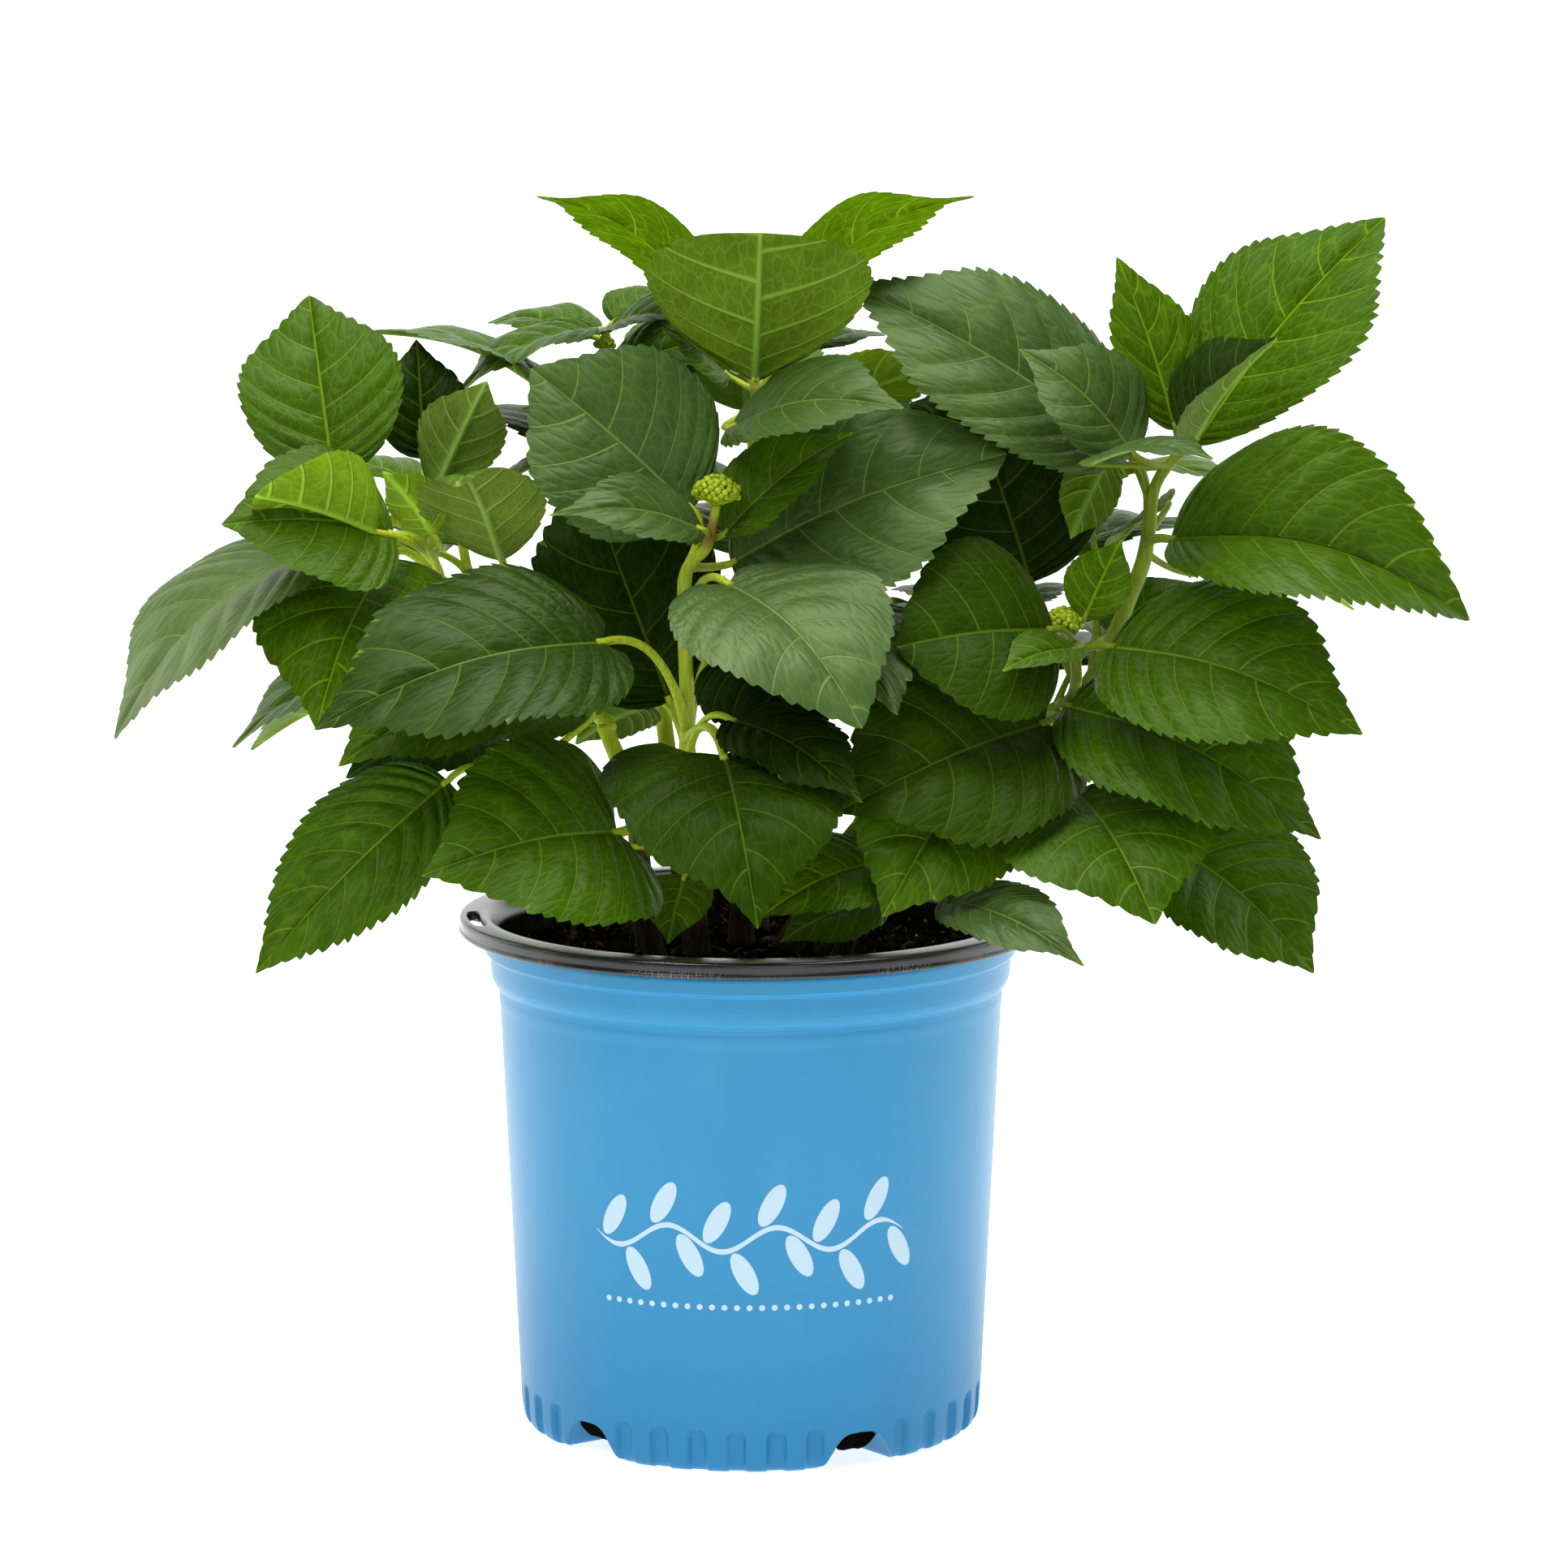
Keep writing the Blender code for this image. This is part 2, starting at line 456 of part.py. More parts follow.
# ---------------------------------------------------------------- soil
soil_outline = [
    (0.0, FLOOR + GAP), (88.6, FLOOR + GAP), (WALL_FOOT_R - WALL - GAP - 0.2, 9.0 + GAP),
    (WALL_TOP_R - WALL - GAP - 0.1, COLLAR_FOOT), (WALL_TOP_R - WALL - GAP - 0.1, SOIL_TOP - 1.5),
    (96.0, SOIL_TOP), (0.0, SOIL_TOP),
]
soil = turned("soil", soil_outline, earth)

# ---------------------------------------------------------------- canes
cane_paths = {}
fixed = []
for name, (foot_xy, way_point, tip_point, foot_r, tip_r) in CANES.items():
    foot_point = Vector((foot_xy[0], foot_xy[1], SOIL_TOP + GAP))
    path = smooth_path([foot_point, seen(*way_point), seen(*tip_point)], 3)
    cane_paths[name] = (path, tip_r)

    def cane_radius(share, foot_r=foot_r, tip_r=tip_r):
        return foot_r + (tip_r - foot_r) * share + 1.2 * (1.0 - share) ** 6

    bm = bmesh.new()
    tube(bm, path, cane_radius, 7, level_foot=True)
    fixed.append((name, tree_of(bm)))
    new_object(name, bm, bark)

# ---------------------------------------------------------------- shoots and their leaves
rim_tool = bmesh.new()
rim_tool.from_mesh(rim.data)
bmesh.ops.scale(rim_tool, vec=(1000.0,) * 3, verts=rim_tool.verts[:])
fixed.append(("pot_rim", tree_of(rim_tool)))
rim_tool.free()
soil_tool = bmesh.new()
soil_tool.from_mesh(soil.data)
bmesh.ops.scale(soil_tool, vec=(1000.0,) * 3, verts=soil_tool.verts[:])
fixed.append(("soil", tree_of(soil_tool)))
soil_tool.free()

shoot_paths = {}
shoot_trees = {}
for name, (cane, points, foot_r, tip_r) in SHOOTS.items():
    cane_path, cane_r = cane_paths[cane]
    way = (cane_path[-1] - cane_path[-2]).normalized()
    path = smooth_path([cane_path[-1] + way * GAP] + [seen(*p) for p in points], 3)
    # The first ring stays square to the cane's cut, so the two faces lie 0.3 mm apart.
    path.insert(1, path[0] + way * 2.0)
    shoot_paths[name] = path
    bm = bmesh.new()
    tube(bm, path, lambda share, a=foot_r, b=tip_r: a + (b - a) * share, 6)
    shoot_trees[name] = tree_of(bm)
    bm.free()

rows = []
for shoot, leaf_name, place, foot, tip, width, face, arch, fold in LEAVES:
    rows.append((shoot, leaf_name, place, foot, tip, width, face, arch, fold))


def paired_leaves(shoot, seed, first_turn, pairs, stretch, lengths):
    """Opposite leaves up a far-side shoot, as foot and tip points, larger and lower at the foot."""
    rule = random.Random(seed)
    out = []
    path = shoot_paths[shoot]
    for pair in range(pairs):
        share = (pair + 0.5) / pairs
        place = stretch[0] + (stretch[1] - stretch[0]) * share
        start, _ = along(path, place)
        height = min(max((start.z - 230.0) / 200.0, 0.0), 1.0)
        for side in (0, 1):
            turn = math.radians(first_turn + 90.0 * pair + 180.0 * side + rule.uniform(-16.0, 16.0))
            way = Vector((math.cos(turn), -math.sin(turn), 0.0))
            # Leaves of the far side lean away from the pot's axis, the low ones most.
            outward = Vector((start.x, start.y, 0.0)).normalized()
            way = (way + outward * (0.75 - 0.4 * height)).normalized()
            length = (lengths[0] + (lengths[1] - lengths[0]) * share) * rule.uniform(0.92, 1.06)
            rise = math.radians(-34.0 + 60.0 * height + rule.uniform(-8.0, 8.0))
            stalk = 28.0 - 14.0 * share
            foot = start + way * stalk + Vector((0.0, 0.0, 0.5 * stalk))
            tip = foot + way * (length * math.cos(rise)) + Vector((0.0, 0.0, length * math.sin(rise)))
            face = (0.25 * way.x, -0.25 * way.y, 1.0)
            out.append((shoot, "%s_%d%d" % (shoot, pair, side), place,
                        foot, tip, 0.74 * length, face, 0.11, 0.10))
    return out


for paired in PAIRED:
    rows += paired_leaves(*paired)

SHIFTS = (0, 6, -6, 12, -12, 18, -18, 26, -26, 34, -34)
placed = []
placed_names = []
kept = {name: [] for name in SHOOTS}
dropped = []
for shoot, leaf_name, place, foot, tip, width, face, arch, fold in rows:
    start, _ = along(shoot_paths[shoot], place)
    best = None
    fewest = None
    met = []
    for tip_shift in (0, 14, -14):
        for shift in SHIFTS:
            if isinstance(foot, Vector):
                move = Vector((0.0, 0.0, float(shift)))
                a, b = foot + move * 0.6, tip + move + Vector((0.0, 0.0, float(tip_shift)))
            else:
                a = seen(foot[0], foot[1], foot[2] + shift)
                b = seen(tip[0], tip[1], tip[2] + shift + tip_shift)
            spread = Vector((face[0], -face[1], face[2]))
            stalk, leaf_part = leaf_rings(start, a, b, width, spread, arch, fold, CLEAR)
            bm = bmesh.new()
            ring_solid(bm, leaf_part)
            blade_tree = tree_of(bm)
            ring_solid(bm, stalk + leaf_part[:1])
            whole_tree = tree_of(bm)
            bm.free()
            hard = any(whole_tree.overlap(other) for _, other in fixed)
            hard = hard or any(whole_tree.overlap(tree) for name, tree in shoot_trees.items() if name != shoot)
            hard = hard or any(whole_tree.overlap(t_all) for name, _, t_all in placed if name != shoot)
            if hard:
                met += [n for n, other in fixed if whole_tree.overlap(other)]
                met += [n for n, other in shoot_trees.items() if n != shoot and whole_tree.overlap(other)]
                met += [ln for (n, _, t_all), ln in zip(placed, placed_names) if n != shoot and whole_tree.overlap(t_all)]
                continue
            soft = sum(bool(blade_tree.overlap(t_blade)) for name, t_blade, _ in placed if name == shoot)
            soft += bool(blade_tree.overlap(shoot_trees[shoot]))
            if best is None or soft < fewest:
                best, fewest = (a, b, spread, blade_tree, whole_tree), soft
            if soft == 0:
                break
        if best is not None and fewest == 0:
            break
    if best is None:
        dropped.append((leaf_name, sorted(set(met))))
        continue
    a, b, spread, blade_tree, whole_tree = best
    placed.append((shoot, blade_tree, whole_tree))
    placed_names.append(leaf_name)
    if fewest:
        print("touches its own shoot:", leaf_name, fewest)
    kept[shoot].append((leaf_name, start, a, b, width, spread, arch, fold))
print("dropped:", dropped)

for name, (cane, points, foot_r, tip_r) in SHOOTS.items():
    bm = bmesh.new()
    tube(bm, shoot_paths[name], lambda share, a=foot_r, b=tip_r: a + (b - a) * share, 6)
    mass = new_object(name, bm, leaf)
    pieces = bpy.data.collections.new(name + "_pieces")
    bpy.context.scene.collection.children.link(pieces)

    def add_piece(bm, pieces=pieces):
        piece = new_object("piece", bm)
        bpy.context.scene.collection.objects.unlink(piece)
        pieces.objects.link(piece)

    for _, start, a, b, width, spread, arch, fold in kept[name]:
        stalk, leaf_part = leaf_rings(start, a, b, width, spread, arch, fold)
        bm = bmesh.new()
        ring_solid(bm, stalk + leaf_part)
        add_piece(bm)
    for shoot, middle, radius in BUDS:
        if shoot != name:
            continue
        bm = bmesh.new()
        bmesh.ops.create_icosphere(bm, subdivisions=1, radius=radius,
                                   matrix=Matrix.Translation(seen(*middle)) @ Matrix.Scale(0.8, 4, (0, 0, 1)))
        add_piece(bm)
    join = mass.modifiers.new("fuse", "BOOLEAN")
    join.operation = "UNION"
    join.operand_type = "COLLECTION"
    join.solver = "MANIFOLD"
    join.collection = pieces
    apply_modifiers(mass)
    keep_one_body(mass)
    for piece in list(pieces.objects):
        bpy.data.objects.remove(piece, do_unlink=True)
    bpy.data.collections.remove(pieces)
    print(name, len(kept[name]), "leaves", len(mass.data.polygons))
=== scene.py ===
"""A hydrangea shrub in leaf and bud, growing in a round blue nursery pot with a black rolled rim.

The pot is made first, then its rim and its potting mix, then the canes, the leafy shoots, their
leaves and the flower buds. Sizes are in millimetres and become metres when a mesh is made; angles
round the pot are turned from its front, to the right.
"""

import math
import random

import bmesh
import bpy
import numpy as np
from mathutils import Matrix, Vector
from mathutils.bvhtree import BVHTree


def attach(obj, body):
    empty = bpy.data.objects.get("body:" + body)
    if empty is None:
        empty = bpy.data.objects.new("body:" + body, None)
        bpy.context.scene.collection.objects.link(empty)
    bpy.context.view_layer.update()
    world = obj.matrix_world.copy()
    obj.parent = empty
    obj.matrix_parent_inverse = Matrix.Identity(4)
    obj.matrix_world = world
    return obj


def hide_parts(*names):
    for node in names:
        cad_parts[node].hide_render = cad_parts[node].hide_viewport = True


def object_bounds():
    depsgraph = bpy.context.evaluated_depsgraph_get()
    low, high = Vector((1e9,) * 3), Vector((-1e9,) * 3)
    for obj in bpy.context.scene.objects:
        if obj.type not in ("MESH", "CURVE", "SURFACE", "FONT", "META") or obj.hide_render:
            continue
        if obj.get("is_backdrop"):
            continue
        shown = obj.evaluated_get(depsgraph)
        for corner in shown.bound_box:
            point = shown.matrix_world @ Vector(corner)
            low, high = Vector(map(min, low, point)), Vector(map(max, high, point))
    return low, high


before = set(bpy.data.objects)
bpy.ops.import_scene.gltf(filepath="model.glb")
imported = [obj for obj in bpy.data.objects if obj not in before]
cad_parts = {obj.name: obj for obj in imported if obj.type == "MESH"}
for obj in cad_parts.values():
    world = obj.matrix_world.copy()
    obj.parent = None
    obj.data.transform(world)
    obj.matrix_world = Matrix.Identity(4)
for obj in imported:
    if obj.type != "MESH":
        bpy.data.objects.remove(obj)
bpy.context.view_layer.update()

# ---------------------------------------------------------------- pot shell
# One thin moulding of blue polypropylene: a tapering wall, a stepped collar under the rim, five
# feet with short round-topped flutes, and a floor with a channel that runs in from each drain notch.
WALL = 2.6
FLOOR = 3.0
UNDERSIDE = 0.15  # the floor's lower face, above the ground
FOOT_R = 93.0
FEET = 5
FIRST_NOTCH = math.radians(28.0)
NOTCH_STEP = 2.0 * math.pi / FEET
NOTCH_ARCH = ((0.0, 14.6), (6.0, 14.2), (9.5, 11.6), (16.2, 0.0))  # distance from its middle, height
ARCH_ROUNDING = (-1.4, -0.7, 0.0, 0.7, 1.4)
CHANNEL_END, CHANNEL_LEVEL = 40.0, 68.0  # radii where a channel has run out, and where it is full
FLUTES, FLUTE_STEP, FLUTE_R, FLUTE_TOP, FLUTE_DEEP = 6, math.radians(9.7), 3.8, 18.0, 2.0
TAB = (math.radians(323.0), math.radians(339.8))
TAB_LOW, TAB_HIGH, TAB_PROUD = 196.3, 203.7, 0.45
TAB_R, TAB_START, TAB_END = 109.0, 3.4, 1.0  # its radius, and how long it takes to rise and to fall
COLLAR_FOOT = 172.0
SPIGOT_FOOT, SPIGOT_R = 188.4, 105.3  # above this height the inside of the wall is upright
STEPS_ROUND = 720
LEVEL = 28.0  # above this height the wall's rows of points are level
SHELL_OUTLINE = (  # height, radius
    (0.0, 91.0), (0.5, 92.6), (1.6, 93.8), (3.4, 94.6), (7.0, 95.2), (174.0, 103.1), (177.0, 103.5),
    (178.6, 103.6), (180.4, 103.5), (182.4, 103.6), (183.0, 103.9), (183.3, 104.7), (185.0, 105.8),
    (187.0, 106.5), (189.6, 106.8), (195.4, 107.0), (196.2, 107.2), (196.6, 108.5), (197.4, 109.2),
    (203.6, 109.5), (204.4, 107.6), (206.7, 107.4),
)


def shell_radius(height):
    """Outer radius at a height: the mean of the straight-sided outline over 0.4 mm round it."""
    heights, radii = np.array(SHELL_OUTLINE).T
    return sum(np.interp(height + shift, heights, radii) for shift in (-0.2, -0.1, 0.0, 0.1, 0.2)) / 5.0


def lower_edge(turn):
    """Height of the wall's lower edge: nothing at a foot, and a rounded arch at a notch.

    The arch falls with the distance along the wall from the nearest notch's middle.
    """
    away, height = np.array(NOTCH_ARCH).T
    off = (turn - FIRST_NOTCH + 0.5 * NOTCH_STEP) % NOTCH_STEP - 0.5 * NOTCH_STEP
    edge = 0.0
    for shift in ARCH_ROUNDING:
        edge = edge + np.interp(abs(FOOT_R * np.sin(off) + shift), away, height)
    return edge / len(ARCH_ROUNDING)


def flute_depth(turn, height):
    """How far the wall is pressed in: fully from 1.1 mm inside a flute's edge, not 0.5 mm outside."""
    middle = (turn - FIRST_NOTCH) % NOTCH_STEP - 0.5 * NOTCH_STEP
    order = np.clip(np.round(middle / FLUTE_STEP - 0.5) + 0.5, -0.5 * FLUTES + 0.5, 0.5 * FLUTES - 0.5)
    aside = 95.0 * (middle - order * FLUTE_STEP)
    above = np.maximum(height - (FLUTE_TOP - FLUTE_R), 0.0)
    inside = np.clip((FLUTE_R - np.hypot(aside, above)) / 1.6 + 0.3, 0.0, 1.0)
    return FLUTE_DEEP * inside * inside * (3.0 - 2.0 * inside)


def turned_points(radius, turn, height):
    """Points on circles about the upright axis: turn 0 is the front, and a quarter turn the right."""
    radius, turn, height = np.broadcast_arrays(radius, turn, height)
    return np.stack([radius * np.sin(turn), -radius * np.cos(turn), height], axis=-1)


def grid_faces(rows, columns, ring=True, loop=False):
    """Quads of a grid of points. ring joins the last column to the first, and loop the last row."""
    row = np.arange(rows if loop else rows - 1)[:, None]
    column = np.arange(columns if ring else columns - 1)[None, :]
    above = (row + 1) % rows
    beside = (column + 1) % columns
    corners = [row * columns + column, row * columns + beside]
    corners += [above * columns + beside, above * columns + column]
    corners = [np.broadcast_to(corner, (row.size, column.size)) for corner in corners]
    return np.stack(corners, axis=-1).reshape(-1, 4)


def cap_faces(pole, first, columns, upward):
    """Triangles from a ring of points, starting at number first, to a pole."""
    column = np.arange(columns)
    beside = (column + 1) % columns
    around = (column, beside) if upward else (beside, column)
    return np.stack([np.full(columns, pole), first + around[0], first + around[1]], axis=-1)


def add_piece(name, points, faces, finishes, finish_of_face=None, sharp=None):
    """A mesh object at the origin, from points in millimetres and arrays of faces' corner numbers."""
    faces = [f for f in faces if len(f)]
    mesh = bpy.data.meshes.new(name)
    sizes = np.concatenate([np.full(len(f), f.shape[1]) for f in faces])
    mesh.vertices.add(len(points))
    mesh.vertices.foreach_set("co", (0.001 * np.asarray(points)).astype(np.float32).ravel())
    mesh.loops.add(int(sizes.sum()))
    mesh.loops.foreach_set("vertex_index", np.concatenate([f.ravel() for f in faces]).astype(np.int32))
    mesh.polygons.add(len(sizes))
    mesh.polygons.foreach_set("loop_start", (np.cumsum(sizes) - sizes).astype(np.int32))
    mesh.polygons.foreach_set("use_smooth", np.ones(len(sizes), bool))
    for finish in finishes:
        mesh.materials.append(finish)
    if finish_of_face is not None:
        mesh.polygons.foreach_set("material_index", np.asarray(finish_of_face, np.int32))
    mesh.update(calc_edges=True)
    if sharp:
        mesh.set_sharp_from_angle(angle=math.radians(sharp))
    piece = bpy.data.objects.new(name, mesh)
    bpy.context.scene.collection.objects.link(piece)
    return piece


def put(tree, kind, inputs=None, **settings):
    """Adds a node. inputs fills its sockets, by name or number, with values or other nodes' outputs."""
    node = tree.nodes.new("ShaderNode" + kind)
    for setting, value in settings.items():
        setattr(node, setting, value)
    for socket, value in (inputs or {}).items():
        if isinstance(value, bpy.types.NodeSocket):
            tree.links.new(value, node.inputs[socket])
        else:
            node.inputs[socket].default_value = value
    return node


def sums(tree, operation, *values):
    """The output of a Math node."""
    return put(tree, "Math", dict(enumerate(values)), operation=operation).outputs[0]


def ramped(tree, value, low, high, to_low=0.0, to_high=1.0):
    """A value eased from one range to another."""
    node = put(tree, "MapRange", {"Value": value, "From Min": low, "From Max": high, "To Min": to_low,
                                  "To Max": to_high}, interpolation_type="SMOOTHSTEP")
    return node.outputs["Result"]


def blended(tree, share, first, second, blend="MIX"):
    """A colour mixed from two."""
    node = put(tree, "Mix", {"Factor": share, 6: first, 7: second}, data_type="RGBA", blend_type=blend)
    return node.outputs[2]


def new_finish(name, colour, roughness, **sockets):
    """A material with plain values on its shader. Returns it with its node tree and its shader."""
    finish = bpy.data.materials.new(name)
    finish.use_nodes = True
    finish.diffuse_color = (*colour, 1.0)
    shader = finish.node_tree.nodes["Principled BSDF"]
    shader.inputs["Base Color"].default_value = (*colour, 1.0)
    shader.inputs["Roughness"].default_value = roughness
    for socket, value in sockets.items():
        shader.inputs[socket.replace("_", " ")].default_value = value
    return finish, finish.node_tree, shader


def new_group(name, inputs, outputs):
    """An empty node group with number sockets. Returns it with its input and output nodes."""
    group = bpy.data.node_groups.new(name, "ShaderNodeTree")
    for label, value in inputs.items():
        socket = group.interface.new_socket(label, in_out="INPUT", socket_type="NodeSocketFloat")
        socket.default_value = value
    for label in outputs:
        group.interface.new_socket(label, in_out="OUTPUT", socket_type="NodeSocketFloat")
    given = group.nodes.new("NodeGroupInput")
    out = group.nodes.new("NodeGroupOutput")
    return group, given, out


def bumped(tree, shader, height, strength, distance):
    """Lets a height pattern raise the surface."""
    bump = put(tree, "Bump", {"Height": height, "Strength": strength, "Distance": distance})
    tree.links.new(bump.outputs[0], shader.inputs["Normal"])


def own_place(tree):
    """The place on the object, in metres."""
    return put(tree, "TexCoord").outputs["Object"]


def drawn_out(tree, place, share):
    """Places pressed together upwards, which draws a pattern out into upright streaks."""
    return put(tree, "Mapping", {"Vector": place, "Scale": (1.0, 1.0, share)}).outputs[0]


def noise(tree, place, scale, detail, roughness=0.5):
    """A cloudy pattern, finer as the scale grows."""
    settings = {"Vector": place, "Scale": scale, "Detail": detail, "Roughness": roughness}
    return put(tree, "TexNoise", settings).outputs[0]


def mottled_finish(name, colour, roughness, grain, between, dark, pale, bump, **sockets):
    """A material mixed from a dark and a pale colour by one noise pattern, which also raises it.

    grain is the noise's scale and detail, between the values that the colours change between, and
    bump the strength and the height of the surface's relief.
    """
    finish, tree, shader = new_finish(name, colour, roughness, **sockets)
    pattern = noise(tree, own_place(tree), *grain)
    share = ramped(tree, pattern, *between)
    tree.links.new(blended(tree, share, (*dark, 1.0), (*pale, 1.0)), shader.inputs["Base Color"])
    bumped(tree, shader, pattern, *bump)
    return finish


def moulded_group():
    """The skin of moulded plastic: soft flow marks up the wall, a fine grain and a few dull rubs."""
    group, given, out = new_group("moulded_skin", {"Flow": 1.0, "Grain": 1.0}, ("Marks", "Rubs", "Height"))
    place = own_place(group)
    drawn = drawn_out(group, place, 0.12)
    flow = noise(group, drawn, 55.0, 3.0)
    grain = noise(group, place, 2600.0, 1.0)
    cloud = noise(group, place, 24.0, 4.0)
    marks = sums(group, "MULTIPLY", sums(group, "SUBTRACT", flow, 0.5), given.outputs["Flow"])
    height = sums(group, "MULTIPLY", marks, 0.6)
    height = sums(group, "MULTIPLY_ADD", grain, given.outputs["Grain"], height)
    group.links.new(marks, out.inputs["Marks"])
    group.links.new(ramped(group, cloud, 0.55, 0.75), out.inputs["Rubs"])
    group.links.new(height, out.inputs["Height"])
    return group


moulded_skin = moulded_group()
pot_blue, tree, shader = new_finish("pot_blue", (0.020, 0.248, 0.50), 0.36, Specular_IOR_Level=0.34)
skin = put(tree, "Group", node_tree=moulded_skin)
tint = blended(tree, sums(tree, "MULTIPLY_ADD", skin.outputs["Marks"], 0.8, 0.5),
               (0.017, 0.236, 0.465, 1.0), (0.025, 0.260, 0.50, 1.0))
tint = blended(tree, sums(tree, "MULTIPLY", skin.outputs["Rubs"], 0.12), tint, (0.12, 0.32, 0.49, 1.0))
# Painted shade: the blue is mixed darker towards the foot of the pot, over its lowest 12 cm.
height = put(tree, "SeparateXYZ", {0: own_place(tree)}).outputs[2]
tint = blended(tree, ramped(tree, height, 0.0, 0.12, 0.9, 0.0), tint, (0.010, 0.205, 0.43, 1.0))
tree.links.new(tint, shader.inputs["Base Color"])
tree.links.new(sums(tree, "MULTIPLY_ADD", skin.outputs["Rubs"], 0.07, 0.33), shader.inputs["Roughness"])
bumped(tree, shader, skin.outputs["Height"], 0.10, 0.0003)

turn = np.arange(STEPS_ROUND) * (2.0 * math.pi / STEPS_ROUND)
edge = lower_edge(turn)


def raised(rows):
    """Heights of the wall's rows: level above LEVEL, and drawn up to the lower edge below it."""
    return np.where(rows < LEVEL, edge + rows * (LEVEL - edge) / LEVEL, rows)


wall_top = SHELL_OUTLINE[-1][0]
bends = np.array(SHELL_OUTLINE)[5:, 0]
bends = np.concatenate([np.arange(COLLAR_FOOT, 206.0, 2.0), bends - 0.2, bends, bends + 0.2])
bends = np.unique(np.round(bends, 2))
outside = np.concatenate([
    (0.0, 0.4, 1.0, 1.8, 2.8, 4.2, 5.8),
    np.arange(7.2, 22.0, 0.9),
    (24.0, LEVEL),
    np.arange(40.0, 170.0, 13.0),
    bends[bends < wall_top + 0.05],
])[:, None]
inside = np.array([
    wall_top, 203.0, 199.0, 195.0, 191.0, 187.6, 184.0, 150.0, 100.0, 50.0, LEVEL, 20.0, 10.0, 3.4, 0.4,
])[:, None]
height = raised(outside)
tab = np.clip((turn - TAB[0]) * TAB_R / TAB_START, 0.0, 1.0)
tab = tab * np.clip((TAB[1] - turn) * TAB_R / TAB_END, 0.0, 1.0)
tab = tab * np.clip((height - TAB_LOW) / 0.5, 0.0, 1.0) * (height < TAB_HIGH)
outer_r = shell_radius(height) - flute_depth(turn, height) + TAB_PROUD * tab
outer = turned_points(outer_r, turn, height)
height = raised(inside)
inner_r = np.where(height > SPIGOT_FOOT, SPIGOT_R, np.minimum(shell_radius(height), 103.7) - WALL)
inner = turned_points(inner_r, turn, height)
wall_rows = np.concatenate([outer, inner])
wall_faces = grid_faces(len(wall_rows), STEPS_ROUND, loop=True)


def floor_rise(turn, radius):
    """How far the pot's floor is lifted, so that a channel runs in from each notch: as high as the
    wall's lower edge further out than CHANNEL_LEVEL, and eased down to nothing at CHANNEL_END."""
    share = np.clip((radius - CHANNEL_END) / (CHANNEL_LEVEL - CHANNEL_END), 0.0, 1.0)
    return lower_edge(turn) * share * share * (3.0 - 2.0 * share)


floor_r = np.array([30.0, 42.0, 50.0, 58.0, 66.0, 74.0, 83.0])[:, None] + 0.0 * turn
floor_r = np.concatenate([floor_r, [shell_radius(edge + 0.4) - WALL + 0.3]])
floor_z = UNDERSIDE + floor_rise(turn, floor_r)
floor_rows = np.concatenate([
    turned_points(floor_r, turn, floor_z),
    turned_points(floor_r[::-1], turn, floor_z[::-1] + FLOOR - UNDERSIDE),
])
first = wall_rows.size // 3
last = first + (len(floor_rows) - 1) * STEPS_ROUND
pole = first + floor_rows.size // 3
poles = [(0.0, 0.0, UNDERSIDE), (0.0, 0.0, FLOOR)]
shell_points = np.concatenate([wall_rows.reshape(-1, 3), floor_rows.reshape(-1, 3), poles])
shell = add_piece("pot_shell", shell_points, [
    wall_faces,
    grid_faces(len(floor_rows), STEPS_ROUND) + first,
    cap_faces(pole, first, STEPS_ROUND, False),
    cap_faces(pole + 1, last, STEPS_ROUND, True),
], [pot_blue], sharp=50)
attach(shell, "root")
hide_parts("pot")

# ---------------------------------------------------------------- print on the wall
# A plain border printed across the front of the pot in one pale ink: a waved stem with pointed
# leaves to either side of it, and a row of dots under it.
INK = 0.12  # how far the ink stands off the wall
INK_ROOT = 0.4  # how far its hidden back is sunk in
PRINT_HIGH = 97.0
STEM_LONG, STEM_THICK = 132.0, 2.2
WAVE_LONG, WAVE_HIGH = 44.0, 5.0
PRINTED_LEAVES, LEAF_PITCH, LEAF_LONG, LEAF_WIDE, LEAF_LEAN = 12, 11.0, 19.0, 8.0, math.radians(62.0)
DOTS, DOT_PITCH, DOT_ACROSS, DOTS_BELOW = 25, 5.0, 2.4, 28.0


def on_wall(aside, height, proud):
    """Points on the pot's outside from their distance along the wall from the front and their height."""
    radius = shell_radius(height)
    return turned_points(radius + proud, aside / radius, height)


def printed(aside, height):
    """A flat shape of ink, from rows of points across it, closed round with a back sunk in the wall."""
    rows, columns = aside.shape
    aside = np.concatenate([aside, aside[:, ::-1]], axis=1)
    height = np.concatenate([height, height[:, ::-1]], axis=1)
    proud = np.where(np.arange(2 * columns) < columns, INK, -INK_ROOT)
    near = np.arange(columns - 1)
    ends = np.stack([near, near + 1, 2 * columns - 2 - near, 2 * columns - 1 - near], axis=1)
    ends = np.concatenate([ends[:, ::-1], ends + 2 * columns * (rows - 1)])
    faces = np.concatenate([grid_faces(rows, 2 * columns), ends])[:, ::-1]
    return on_wall(aside, height, proud).reshape(-1, 3), faces


def leaf_shape(middle, high, length, width, lean):
    """A long oval: rows across its length, as wide as the sine of the way along it."""
    way = np.linspace(0.02, math.pi - 0.02, 19)[:, None]
    across = np.linspace(-1.0, 1.0, 5)
    along_it, beside = -0.5 * length * np.cos(way), 0.5 * width * np.sin(way) * across
    return printed(middle + along_it * math.cos(lean) - beside * math.sin(lean),
                   high + along_it * math.sin(lean) + beside * math.cos(lean))


def wave_height(aside):
    """Height of the waved stem's middle: a sine of the distance along the wall."""
    return PRINT_HIGH + WAVE_HIGH * np.sin(aside * 2.0 * math.pi / WAVE_LONG)


